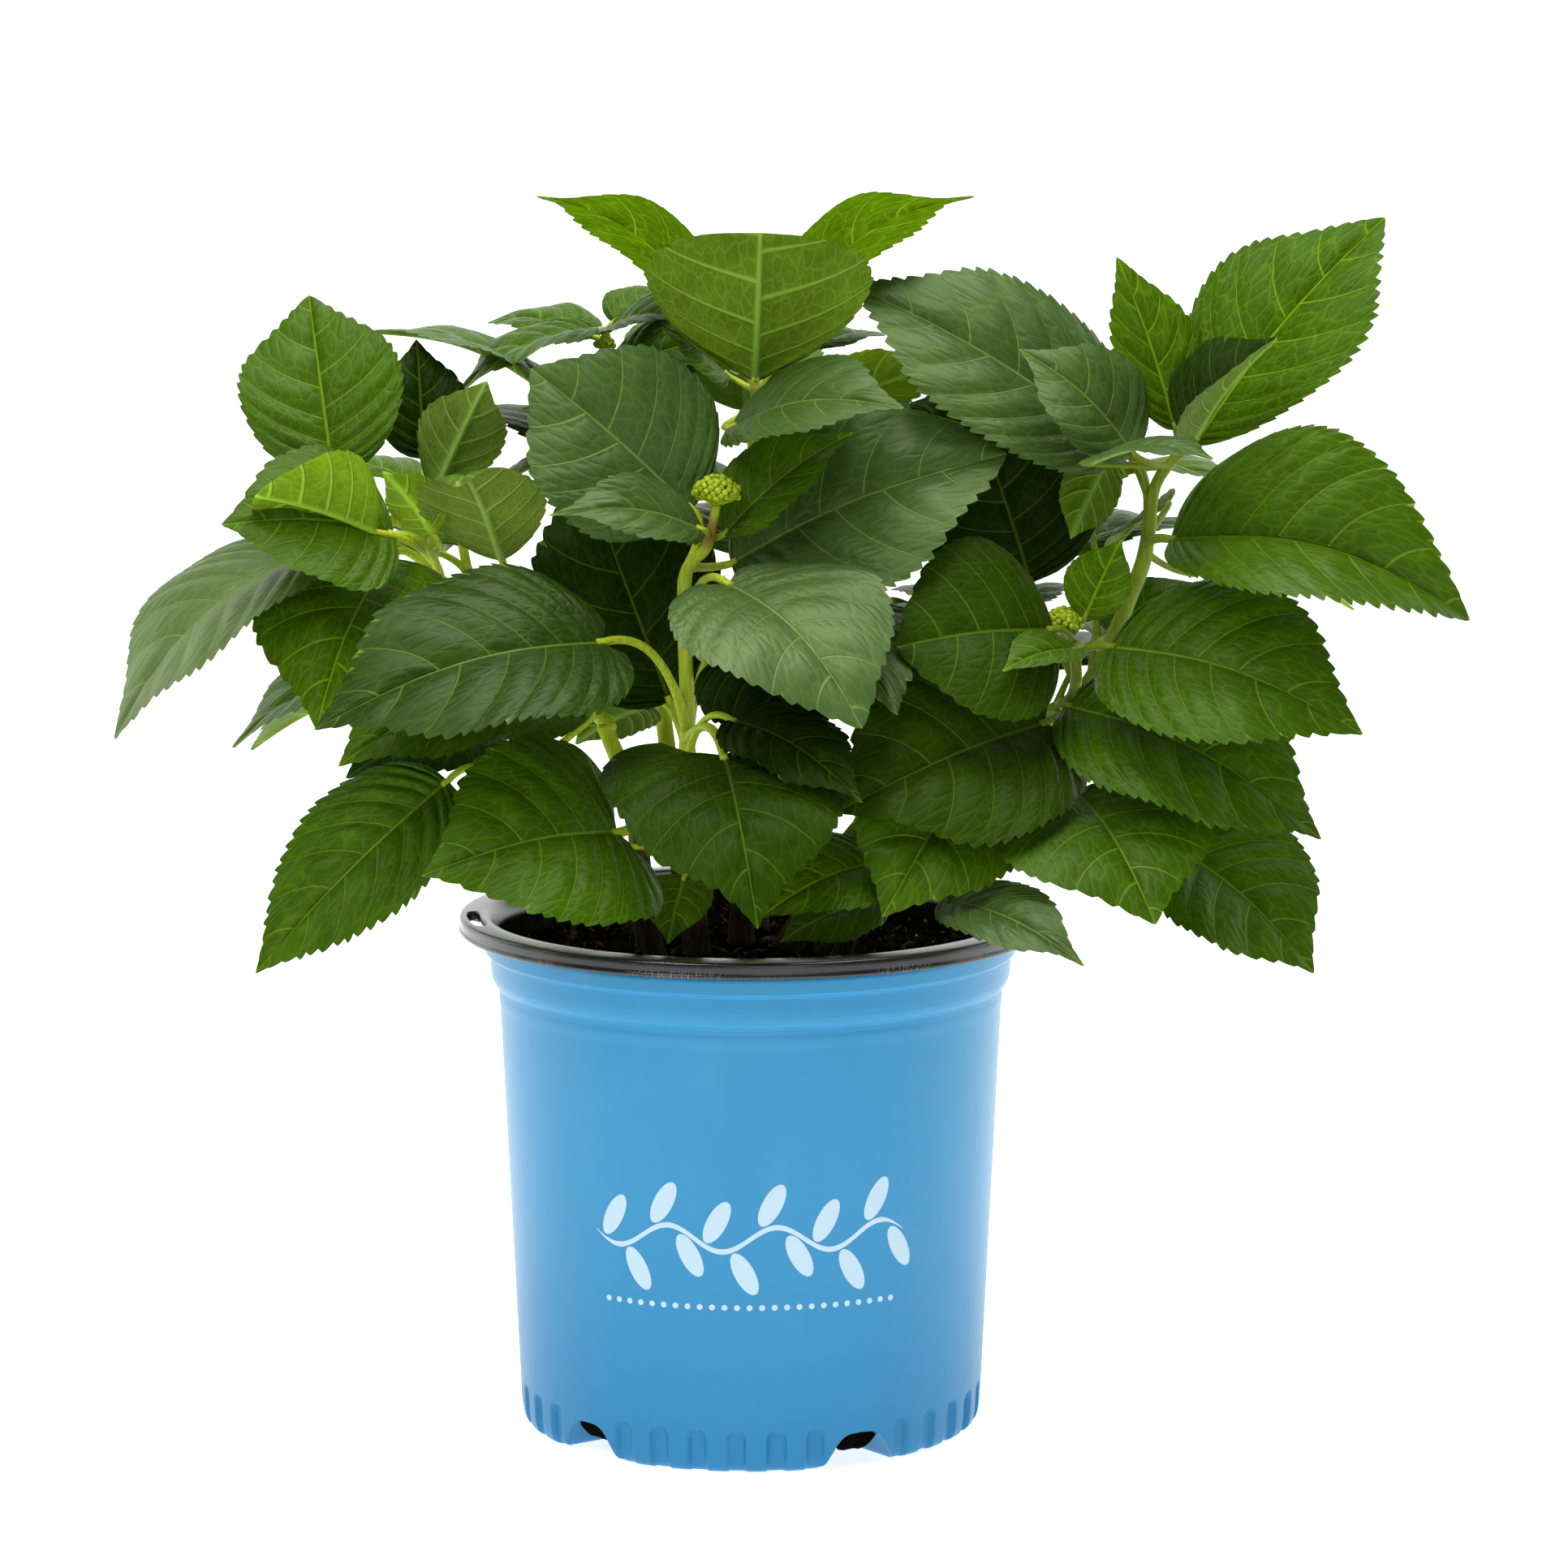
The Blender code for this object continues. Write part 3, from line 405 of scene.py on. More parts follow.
along_wall = np.linspace(-0.5 * STEM_LONG, 0.5 * STEM_LONG, 133)[:, None]
thinned = np.clip((67.0 - abs(along_wall)) / 12.0, 0.15, 1.0)
thick = 0.5 * STEM_THICK * thinned * np.linspace(-1.0, 1.0, 3)
shapes = [printed(along_wall + 0.0 * thick, wave_height(along_wall) + thick)]
for k in range(PRINTED_LEAVES):
    middle = (k - 0.5 * (PRINTED_LEAVES - 1)) * LEAF_PITCH
    side = 1 - 2 * (k % 2)
    high = wave_height(middle) + side * 10.5
    shapes.append(leaf_shape(middle + 3.5, high, LEAF_LONG, LEAF_WIDE, side * LEAF_LEAN))
for k in range(DOTS):
    middle = (k - 0.5 * (DOTS - 1)) * DOT_PITCH
    shapes.append(leaf_shape(middle, PRINT_HIGH - DOTS_BELOW, DOT_ACROSS, DOT_ACROSS, 0.0))
ink_pale, tree, shader = new_finish("ink_pale", (0.46, 0.63, 0.74), 0.4, Specular_IOR_Level=0.4)
skin = put(tree, "Group", node_tree=moulded_skin)
rubbed = sums(tree, "MULTIPLY", skin.outputs["Rubs"], 0.3)
colour = blended(tree, rubbed, (0.47, 0.64, 0.75, 1.0), (0.40, 0.58, 0.71, 1.0))
tree.links.new(colour, shader.inputs["Base Color"])
starts = np.cumsum([0] + [len(points) for points, _ in shapes])
points = np.concatenate([points for points, _ in shapes])
faces = [faces + first for (_, faces), first in zip(shapes, starts)]
ink = add_piece("pot_print", points, faces, [ink_pale], sharp=40)
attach(ink, "root")

# ---------------------------------------------------------------- rolled rim
# A separate black ring clipped over the wall: a rolled outer lip with a fine ridge at its foot, a top
# that slopes down inwards with a long slot on either side, and a ribbed band inside the pot.
SLOTS = (math.radians(-80.0), math.radians(100.0))
SLOT_R, SLOT_HALF_WIDTH, SLOT_HALF_TURN = 114.0, 2.8, math.radians(9.0)
RIBS, FIRST_RIB, RIB_PROUD, RIBS_BELOW = 6, math.radians(-22.0), 0.8, 205.0
STEPS_ROUND_RIM = 360
RIM_SECTION = (  # radius, height: the clip over the wall, round under the lip, and back over the top
    (103.0, 189.0), (104.8, 189.0), (104.8, 206.9), (107.5, 207.0), (107.7, 204.6), (109.4, 204.6),
    (109.9, 207.6), (114.0, 208.6), (117.4, 208.4), (118.1, 205.5), (119.5, 205.5), (119.9, 206.1),
    (119.9, 206.9), (119.5, 207.4), (119.6, 210.4), (119.3, 211.7), (118.4, 212.2), (114.0, 212.5),
    (110.6, 212.6), (108.4, 212.2), (106.8, 211.0), (105.4, 209.2), (104.0, 207.2), (103.0, 205.0),
    (102.9, 198.0), (102.9, 192.0),
)


def rounded_section(points, times):
    """A closed outline cut at its corners, times over: each corner gives way to two points, a quarter
    and three quarters of the way to the next."""
    outline = np.array(points, float)
    for _ in range(times):
        after = np.roll(outline, -1, axis=0)
        pairs = [0.75 * outline + 0.25 * after, 0.25 * outline + 0.75 * after]
        outline = np.stack(pairs, axis=1).reshape(-1, 2)
    return outline


rim_black, tree, shader = new_finish("rim_black", (0.012, 0.012, 0.013), 0.15, Specular_IOR_Level=0.6)
skin = put(tree, "Group", {"Flow": 0.7, "Grain": 1.4}, node_tree=moulded_skin)
place = own_place(tree)
upright = drawn_out(tree, place, 0.02)
ticks = noise(tree, upright, 1700.0, 1.0)
rubbed = noise(tree, place, 30.0, 1.0)
height = put(tree, "SeparateXYZ", {0: place}).outputs[2]
ticks = sums(tree, "MULTIPLY", ramped(tree, ticks, 0.50, 0.66), ramped(tree, rubbed, 0.46, 0.60))
ticks = sums(tree, "MULTIPLY", ticks, ramped(tree, height, 0.2036, 0.2046))
ticks = sums(tree, "MULTIPLY", ticks, ramped(tree, height, 0.2064, 0.2098, 1.0, 0.0))
rubs = sums(tree, "MULTIPLY", skin.outputs["Rubs"], 0.25)
worn = sums(tree, "MAXIMUM", rubs, sums(tree, "MULTIPLY", ticks, 0.6))
colour = blended(tree, worn, (0.011, 0.011, 0.012, 1.0), (0.20, 0.20, 0.19, 1.0))
tree.links.new(colour, shader.inputs["Base Color"])
tree.links.new(sums(tree, "MULTIPLY_ADD", worn, 0.5, 0.12), shader.inputs["Roughness"])
bumped(tree, shader, skin.outputs["Height"], 0.16, 0.0003)

turn = np.arange(STEPS_ROUND_RIM) * (2.0 * math.pi / STEPS_ROUND_RIM)
section = rounded_section(RIM_SECTION, 1)
rib_step = 2.0 * math.pi / RIBS
off = abs((turn - FIRST_RIB + 0.5 * rib_step) % rib_step - 0.5 * rib_step)
ribs = RIB_PROUD * np.clip(1.0 - off * 80.0, 0.0, 1.0)
band = np.clip((RIBS_BELOW - section[:, 1]) / 4.0, 0.0, 1.0) * (section[:, 0] < 103.6)
rim_r = section[:, :1] - band[:, None] * ribs
rim_points = turned_points(rim_r, turn, section[:, 1:]).reshape(-1, 3)
rim_faces = grid_faces(len(section), len(turn), loop=True)
rim = add_piece("pot_rim_ring", rim_points, [rim_faces], [rim_black], sharp=60)
slot_way = np.linspace(-1.0, 1.0, 25)[:, None]
corner = np.array([(-1, 200.0), (1, 200.0), (1, 218.0), (-1, 218.0)])
bpy.context.view_layer.update()
for middle in SLOTS:
    half = SLOT_HALF_WIDTH * np.sqrt(1.0 - 0.998 * slot_way ** 6)
    rings = turned_points(SLOT_R + corner[:, 0] * half, middle + SLOT_HALF_TURN * slot_way, corner[:, 1])
    ends = rings[[0, -1]].mean(axis=1)
    count = rings.size // 3
    cutter = add_piece("rim_slot_cutter", np.concatenate([rings.reshape(-1, 3), ends]), [
        grid_faces(len(rings), 4)[:, ::-1],
        cap_faces(count, 0, 4, True),
        cap_faces(count + 1, count - 4, 4, False),
    ], [rim_black])
    cut = rim.modifiers.new("slot", "BOOLEAN")
    cut.object, cut.operation, cut.solver = cutter, "DIFFERENCE", "EXACT"
    made = bpy.data.meshes.new_from_object(rim.evaluated_get(bpy.context.evaluated_depsgraph_get()))
    rim.modifiers.clear()
    rim.data = made
    bpy.data.objects.remove(cutter)
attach(rim, "root")
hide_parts("pot_rim")

# ---------------------------------------------------------------- potting mix
# A moist dark mix of bark and peat that fills the pot. Its top is crumbly, with loose clods, chips
# of bark and a few white grains of perlite, and its root ball shows in the drain notches.
SOIL_TOP = 196.0
UNDER_MIX = 3.4
MIX_STEPS = 240
BALL_R, BALL_LONG, BALL_HALF_WIDE = 87.5, 4.5, 11.0  # where the root ball bulges down behind a notch
BALL_EDGE_R = 90.0
GRAINS_R = 98.0  # loose grains lie no further out


def lumps(x, y, z, scale, seed):
    """Smooth noise from about -1 to 1: six waves of random direction and phase at each of three scales."""
    dice = np.random.default_rng(seed)
    total = 0.0
    for octave in range(3):
        for _ in range(6):
            way = dice.normal(size=3)
            way *= 2.0 * math.pi * 2.0 ** octave / (scale * np.linalg.norm(way))
            phase = x * way[0] + y * way[1] + z * way[2] + dice.uniform(0, 6.28)
            total = total + np.sin(phase) / 2.0 ** octave
    return total / 7.0


soil_dark, tree, shader = new_finish("soil_dark", (0.008, 0.006, 0.004), 0.95, Specular_IOR_Level=0.03)
place = own_place(tree)
crumb = noise(tree, place, 420.0, 5.0, 0.7)
patch = noise(tree, place, 70.0, 3.0)
crumb_share = ramped(tree, crumb, 0.35, 0.72)
earth = blended(tree, crumb_share, (0.0005, 0.0004, 0.0003, 1.0), (0.0065, 0.0040, 0.0022, 1.0))
earth = blended(tree, ramped(tree, patch, 0.4, 0.7, 0.0, 0.5), earth, (0.004, 0.0027, 0.0014, 1.0))
tree.links.new(earth, shader.inputs["Base Color"])
bumped(tree, shader, crumb, 0.9, 0.0015)

turn = np.arange(MIX_STEPS) * (2.0 * math.pi / MIX_STEPS)
under_r, under_z = np.array([
    (30.0, UNDER_MIX), (42.0, UNDER_MIX), (50.0, UNDER_MIX), (58.0, UNDER_MIX), (66.0, UNDER_MIX),
    (74.0, UNDER_MIX), (80.0, UNDER_MIX), (84.0, UNDER_MIX), (88.0, 4.6), (90.0, 7.0), (91.6, 10.0),
    (92.0, 16.0), (92.6, 24.0), (94.0, 60.0), (100.6, 180.0), (100.7, 192.0),
]).T
top_r = np.linspace(100.0, 1.5, 66)
soil_r = np.concatenate([under_r, top_r])[:, None]
soil_z = np.concatenate([under_z, np.full(len(top_r), SOIL_TOP)])[:, None]
off = (turn - FIRST_NOTCH + 0.5 * NOTCH_STEP) % NOTCH_STEP - 0.5 * NOTCH_STEP
ball = np.exp(-((BALL_EDGE_R * np.sin(off) / BALL_HALF_WIDE) ** 6))
ball = ball * np.exp(-(((soil_r - BALL_R) / BALL_LONG) ** 4))
on_the_floor = FLOOR + 0.3 + floor_rise(turn, soil_r) + 0.02 * soil_r
soil_z = np.maximum(soil_z, on_the_floor - 0.95 * lower_edge(turn) * ball)
flat = turned_points(soil_r, turn, soil_z)
x, y, z = flat[..., 0], flat[..., 1], flat[..., 2]
rough = lumps(x, y, z, 26.0, 5) + 0.9 * lumps(x, y, z, 7.0, 6)
on_top = (np.arange(len(soil_r)) >= len(under_r))[:, None]
soil_z = soil_z + on_top * (1.6 * rough - 0.6) + ball * 1.2 * rough
soil_r = soil_r - ~on_top * np.clip(0.7 + 0.7 * rough, 0.0, 2.0)
soil_points = turned_points(soil_r, turn, soil_z).reshape(-1, 3)
count = len(soil_points)
soil_points = np.concatenate([soil_points, [(0.0, 0.0, UNDER_MIX), (0.0, 0.0, SOIL_TOP)]])
soil = add_piece("soil_fill", soil_points, [
    grid_faces(len(soil_r), MIX_STEPS),
    cap_faces(count, 0, MIX_STEPS, False),
    cap_faces(count + 1, count - MIX_STEPS, MIX_STEPS, True),
], [soil_dark])
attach(soil, "root")
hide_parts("soil")


def scattered(places, sizes, squash, dice):
    """Rough eight-faced grains: an octahedron's six corners, turned and stretched for each grain."""
    corners = np.array([(1, 0, 0), (0, 1, 0), (-1, 0, 0), (0, -1, 0), (0, 0, 1), (0, 0, -1)], float)
    count = len(places)
    frames = np.linalg.qr(dice.normal(size=(count, 3, 3)))[0]
    frames[:, :, 2] *= np.sign(np.linalg.det(frames))[:, None]
    stretch = dice.uniform(0.55, 1.0, (count, 1, 3)) * squash
    bodies = (corners * stretch) @ np.swapaxes(frames, 1, 2) * sizes[:, None, None]
    bodies = bodies * dice.uniform(0.75, 1.15, (count, 6, 1)) + places[:, None, :]
    upper = np.array([(0, 1, 4), (1, 2, 4), (2, 3, 4), (3, 0, 4)])
    lower = np.array([(1, 0, 5), (2, 1, 5), (3, 2, 5), (0, 3, 5)])
    faces = np.concatenate([upper, lower]) + 6 * np.arange(count)[:, None, None]
    return bodies.reshape(-1, 3), faces.reshape(-1, 3)


def on_the_soil(count, dice, lift):
    """Places scattered evenly over the top of the mix."""
    radius = GRAINS_R * np.sqrt(dice.uniform(0.0, 1.0, count))
    return turned_points(radius, dice.uniform(0.0, 2.0 * math.pi, count), SOIL_TOP + lift)


bark_chip = mottled_finish(
    "bark_chip", (0.07, 0.035, 0.016), 0.85, (260.0, 4.0), (0.35, 0.7),
    (0.012, 0.006, 0.003), (0.11, 0.052, 0.022), (0.8, 0.001), Specular_IOR_Level=0.3,
)
perlite, tree, shader = new_finish("perlite", (0.72, 0.70, 0.64), 0.9)
pitted = noise(tree, own_place(tree), 900.0, 3.0)
colour = blended(tree, pitted, (0.42, 0.39, 0.33, 1.0), (0.86, 0.84, 0.80, 1.0))
tree.links.new(colour, shader.inputs["Base Color"])
bumped(tree, shader, pitted, 0.8, 0.0006)

GRAINS = (  # name, finish, how many, smallest and largest half size, squash, seed
    ("soil_clods", soil_dark, 900, 0.9, 2.8, (1.0, 1.0, 0.8), 11),
    ("bark_chips", bark_chip, 420, 1.4, 4.6, (1.0, 0.45, 0.22), 12),
    ("perlite_grains", perlite, 26, 0.8, 1.7, (1.0, 0.9, 0.8), 13),
)
for name, finish, count, low, high, squash, seed in GRAINS:
    dice = np.random.default_rng(seed)
    places = on_the_soil(count, dice, dice.uniform(0.0, 1.8, count))
    points, faces = scattered(places, dice.uniform(low, high, count), np.array(squash), dice)
    piece = add_piece(name, points, [faces], [finish], sharp=25)
    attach(piece, "root")

# ---------------------------------------------------------------- canes
# Eleven canes rise from the mix. They are brown, woody and ridged at the foot, turn green within a
# few centimetres, and have a ring at each of two old leaf joints.
EYE = Vector((14.0, -2274.0, 609.0))  # where the plant is seen from when a place is given as seen
VIEW_MIDDLE = Vector((14.0, 0.0, 265.0))
VIEW_HIGH = 259.7  # the height that is given to VIEW_MIDDLE in such places
VIEW_PITCH = math.radians(8.6)
GAP = 0.3  # between a cane and the mix, and between a shoot and its cane
CANES = {  # foot on the soil, one point on the way and the tip as seen, foot radius, tip radius
    "cane_front": ((-22, -12), (-25, 238, 18), (-26, 268, 21), 5.2, 3.9),
    "cane_left": ((-42, -2), (-48, 250, 4), (-60, 284, 0), 4.6, 3.4),
    "cane_right": ((14, -8), (48, 244, -6), (104, 282, -6), 5.4, 4.2),
    "cane_side": ((30, -22), (66, 240, 18), (118, 282, 16), 4.4, 3.2),
    "cane_top": ((-4, 10), (-2, 262, -14), (3, 318, -24), 4.8, 3.8),
    "cane_low_left": ((-38, -30), (-46, 214, 34), (-58, 226, 34), 4.2, 3.4),
    "cane_low_right": ((36, -40), (44, 212, 44), (56, 224, 44), 4.2, 3.4),
    "cane_back_left": ((-26, 24), (-36, 290, -46), (-46, 352, -58), 4.2, 3.0),
    "cane_rear_left": ((-46, 28), (-70, 240, -60), (-92, 278, -88), 4.6, 3.6),
    "cane_rear_right": ((28, 20), (52, 246, -52), (84, 290, -84), 4.8, 3.6),
    "cane_rear_middle": ((2, 36), (4, 240, -60), (6, 286, -92), 4.8, 3.6),
}


def seen(u, v, d):
    """The point d in front of the pot's axis that lies behind u, v as seen from the eye."""
    up = Vector((0.0, math.sin(VIEW_PITCH), math.cos(VIEW_PITCH)))
    on_plane = VIEW_MIDDLE + Vector((u - VIEW_MIDDLE.x, 0.0, 0.0)) + up * (v - VIEW_HIGH)
    sight = on_plane - EYE
    return EYE + sight * ((-d - EYE.y) / sight.y)


def smooth_path(points, per_span):
    """A curve through the points, each span bending towards its neighbours."""
    path = []
    for k in range(len(points) - 1):
        before = points[k - 1] if k else points[k] * 2 - points[k + 1]
        start, end = points[k], points[k + 1]
        after = points[k + 2] if k + 2 < len(points) else end * 2 - start
        squared = 2 * before - 5 * start + 4 * end - after
        cubed = 3 * start - before - 3 * end + after
        for j in range(per_span):
            t = j / per_span
            path.append(0.5 * (2 * start + (end - before) * t + squared * t * t + cubed * t ** 3))
    path.append(points[-1].copy())
    return path


def sleeve(path, radii, sides, across=(0.0, 1.0, 0.0)):
    """A closed tube: circles of the given radii set square to the path, with a pole at each end.

    radii has one value for each path point, or one for each point of each circle. The circle's
    first point lies square to the across direction.
    """
    path = np.array([tuple(p) for p in path], float)
    way = np.gradient(path, axis=0)
    way /= np.linalg.norm(way, axis=1)[:, None]
    side = np.cross(way, np.array(across, float))
    side /= np.linalg.norm(side, axis=1)[:, None]
    other = np.cross(way, side)
    angle = 2.0 * math.pi * np.arange(sides) / sides
    radii = np.asarray(radii, float).reshape(len(path), -1)[:, :, None]
    round_it = side[:, None] * np.cos(angle)[:, None] + other[:, None] * np.sin(angle)[:, None]
    rings = path[:, None] + radii * round_it
    points = np.concatenate([rings.reshape(-1, 3), path[:1], path[-1:]])
    count = len(path) * sides
    caps = [cap_faces(count, 0, sides, False), cap_faces(count + 1, count - sides, sides, True)]
    return points, [grid_faces(len(path), sides), np.concatenate(caps)]


def joined(parts):
    """Several (points, [quads, triangles]) as one, with their corner numbers carried on."""
    first = np.cumsum([0] + [len(points) for points, _ in parts])
    points = np.concatenate([points for points, _ in parts])
    return points, [np.concatenate([faces[k] + n for (_, faces), n in zip(parts, first)]) for k in (0, 1)]


def bark_group():
    """Colour of a hydrangea stem: grey-brown bark at the soil, then green with fine pale lengthwise
    streaks and small reddish dots. The bark, as much of it as Woody says, gives way to green between
    the heights From and To."""
    group, given, out = new_group("stem_skin", {"Woody": 1.0, "From": 0.208, "To": 0.246}, ())
    group.interface.new_socket("Colour", in_out="OUTPUT", socket_type="NodeSocketColor")
    group.interface.new_socket("Height", in_out="OUTPUT", socket_type="NodeSocketFloat")
    place = own_place(group)
    drawn = drawn_out(group, place, 0.10)
    streak = noise(group, drawn, 900.0, 3.0)
    cloud = noise(group, place, 45.0, 3.0)
    dots = {"Vector": place, "Scale": 420.0, "Randomness": 1.0}
    dots = put(group, "TexVoronoi", dots).outputs["Distance"]
    dots = ramped(group, dots, 0.10, 0.22, 1.0, 0.0)
    height = put(group, "SeparateXYZ", {0: place}).outputs[2]
    height = sums(group, "MULTIPLY_ADD", sums(group, "SUBTRACT", cloud, 0.5), 0.05, height)
    woody = ramped(group, height, given.outputs["From"], given.outputs["To"], 1.0, 0.0)
    woody = sums(group, "MULTIPLY", woody, given.outputs["Woody"])
    streaked = ramped(group, streak, 0.35, 0.7)
    green = blended(group, streaked, (0.340, 0.460, 0.012, 1.0), (0.500, 0.600, 0.030, 1.0))
    green = blended(group, sums(group, "MULTIPLY", dots, 0.22), green, (0.16, 0.10, 0.025, 1.0))
    streaked = ramped(group, streak, 0.3, 0.7)
    brown = blended(group, streaked, (0.010, 0.006, 0.004, 1.0), (0.050, 0.030, 0.018, 1.0))
    group.links.new(blended(group, woody, green, brown), out.inputs["Colour"])
    group.links.new(sums(group, "MULTIPLY_ADD", woody, 1.0, streak), out.inputs["Height"])
    return group


stem_skin = bark_group()


def cane_finish(name, low, high):
    """Bark up to a height in metres, giving way to green up to another."""
    finish, tree, shader = new_finish(name, (0.20, 0.22, 0.06), 0.75, Specular_IOR_Level=0.15)
    skin = put(tree, "Group", {"Woody": 1.0, "From": low, "To": high}, node_tree=stem_skin)
    tree.links.new(skin.outputs["Colour"], shader.inputs["Base Color"])
    bumped(tree, shader, skin.outputs["Height"], 0.5, 0.0005)
    return finish


cane_young = cane_finish("cane_young", 0.208, 0.246)
cane_old = cane_finish("cane_old", 0.222, 0.300)
OLD_JOINTS = (0.34, 0.68)  # where the rings are, as shares of a cane's length
CANE_SIDES = 20

cane_ends = {}
for name, (foot, way_point, tip_point, foot_r, tip_r) in CANES.items():
    corners = [Vector((*foot, SOIL_TOP + GAP)), seen(*way_point), seen(*tip_point)]
    coarse = smooth_path(corners, 3)
    cane_ends[name] = (coarse[-1], (coarse[-1] - coarse[-2]).normalized())
    path = smooth_path(corners, 30)
    share = np.linspace(0.0, 1.0, len(path))[:, None]
    angle = 2.0 * math.pi * np.arange(CANE_SIDES) / CANE_SIDES
    dice = np.random.default_rng(len(name) + int(foot_r * 10))
    ridges = 0.10 * np.sin(5.0 * angle + 3.0 * share) + 0.05 * np.sin(9.0 * angle - 6.0 * share)
    ridges = ridges + 0.08 * dice.normal(size=(len(path), CANE_SIDES)) * (1.0 - share) ** 2
    joints = sum(np.exp(-(((share - joint) / 0.018) ** 2)) for joint in OLD_JOINTS)
    flare = 1.2 * (1.0 - share) ** 6 - 0.25
    radii = foot_r + (tip_r - foot_r) * share + flare + ridges + 0.45 * joints
    radii = radii + 0.25 * np.exp(-(((share - 1.0) / 0.03) ** 2))
    points, faces = sleeve(path, radii, CANE_SIDES)
    piece = add_piece(name + "_bark", points, faces, [cane_young if name == "cane_front" else cane_old])
    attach(piece, "root")
    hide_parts(name)

# ---------------------------------------------------------------- where each shoot's leaves stand
# A shoot carries on from its cane. Each leaf is set by the ends of its blade, and is moved a little
# in depth until it clears the canes, the rim, the mix, the other shoots and the leaves before it.
CLEAR = 1.3  # room kept free all round a leaf
SHIFTS = [  # how far the tip and the whole leaf are moved, in the order they are tried
    (tip_shift, shift)
    for tip_shift in (0, 14, -14)
    for shift in (0, 6, -6, 12, -12, 18, -18, 26, -26, 34, -34)
]
BLUNT, DRAWN = 0.50, 0.92  # how pointed the foot and the tip of a leaf's room are
SHOOTS = {  # points after the end of the cane as seen, foot radius, tip radius
    "shoot_front": (((-26, 293, 25), (-27, 343, 30), (-18, 357, 32), (-14, 374, 34)), 3.6, 1.9),
    "shoot_left": (((-96, 318, -6), (-126, 342, -4), (-131, 366, -6)), 3.3, 1.7),
    "shoot_right": (((136, 298, -2), (160, 348, 4), (166, 382, 6), (180, 400, 6)), 4.0, 2.0),
    "shoot_side": (((132, 296, 18), (133, 312, 24), (129, 322, 30)), 3.0, 1.9),
    "shoot_top": (((5, 372, -27), (3, 410, -20), (2, 426, -14)), 3.6, 2.2),
    "shoot_low_left": (((-78, 244, 32), (-100, 270, 26)), 3.2, 2.0),
    "shoot_low_right": (((84, 238, 40), (116, 250, 30)), 3.2, 2.0),
    "shoot_back_left": (((-56, 402, -64), (-60, 436, -66)), 2.8, 1.8),
    "shoot_rear_left": (((-112, 330, -112), (-124, 392, -122)), 3.5, 1.8),
    "shoot_rear_right": (((112, 350, -108), (124, 420, -120)), 3.5, 1.8),
    "shoot_rear_middle": (((2, 350, -120), (0, 430, -132)), 3.5, 1.8),
}
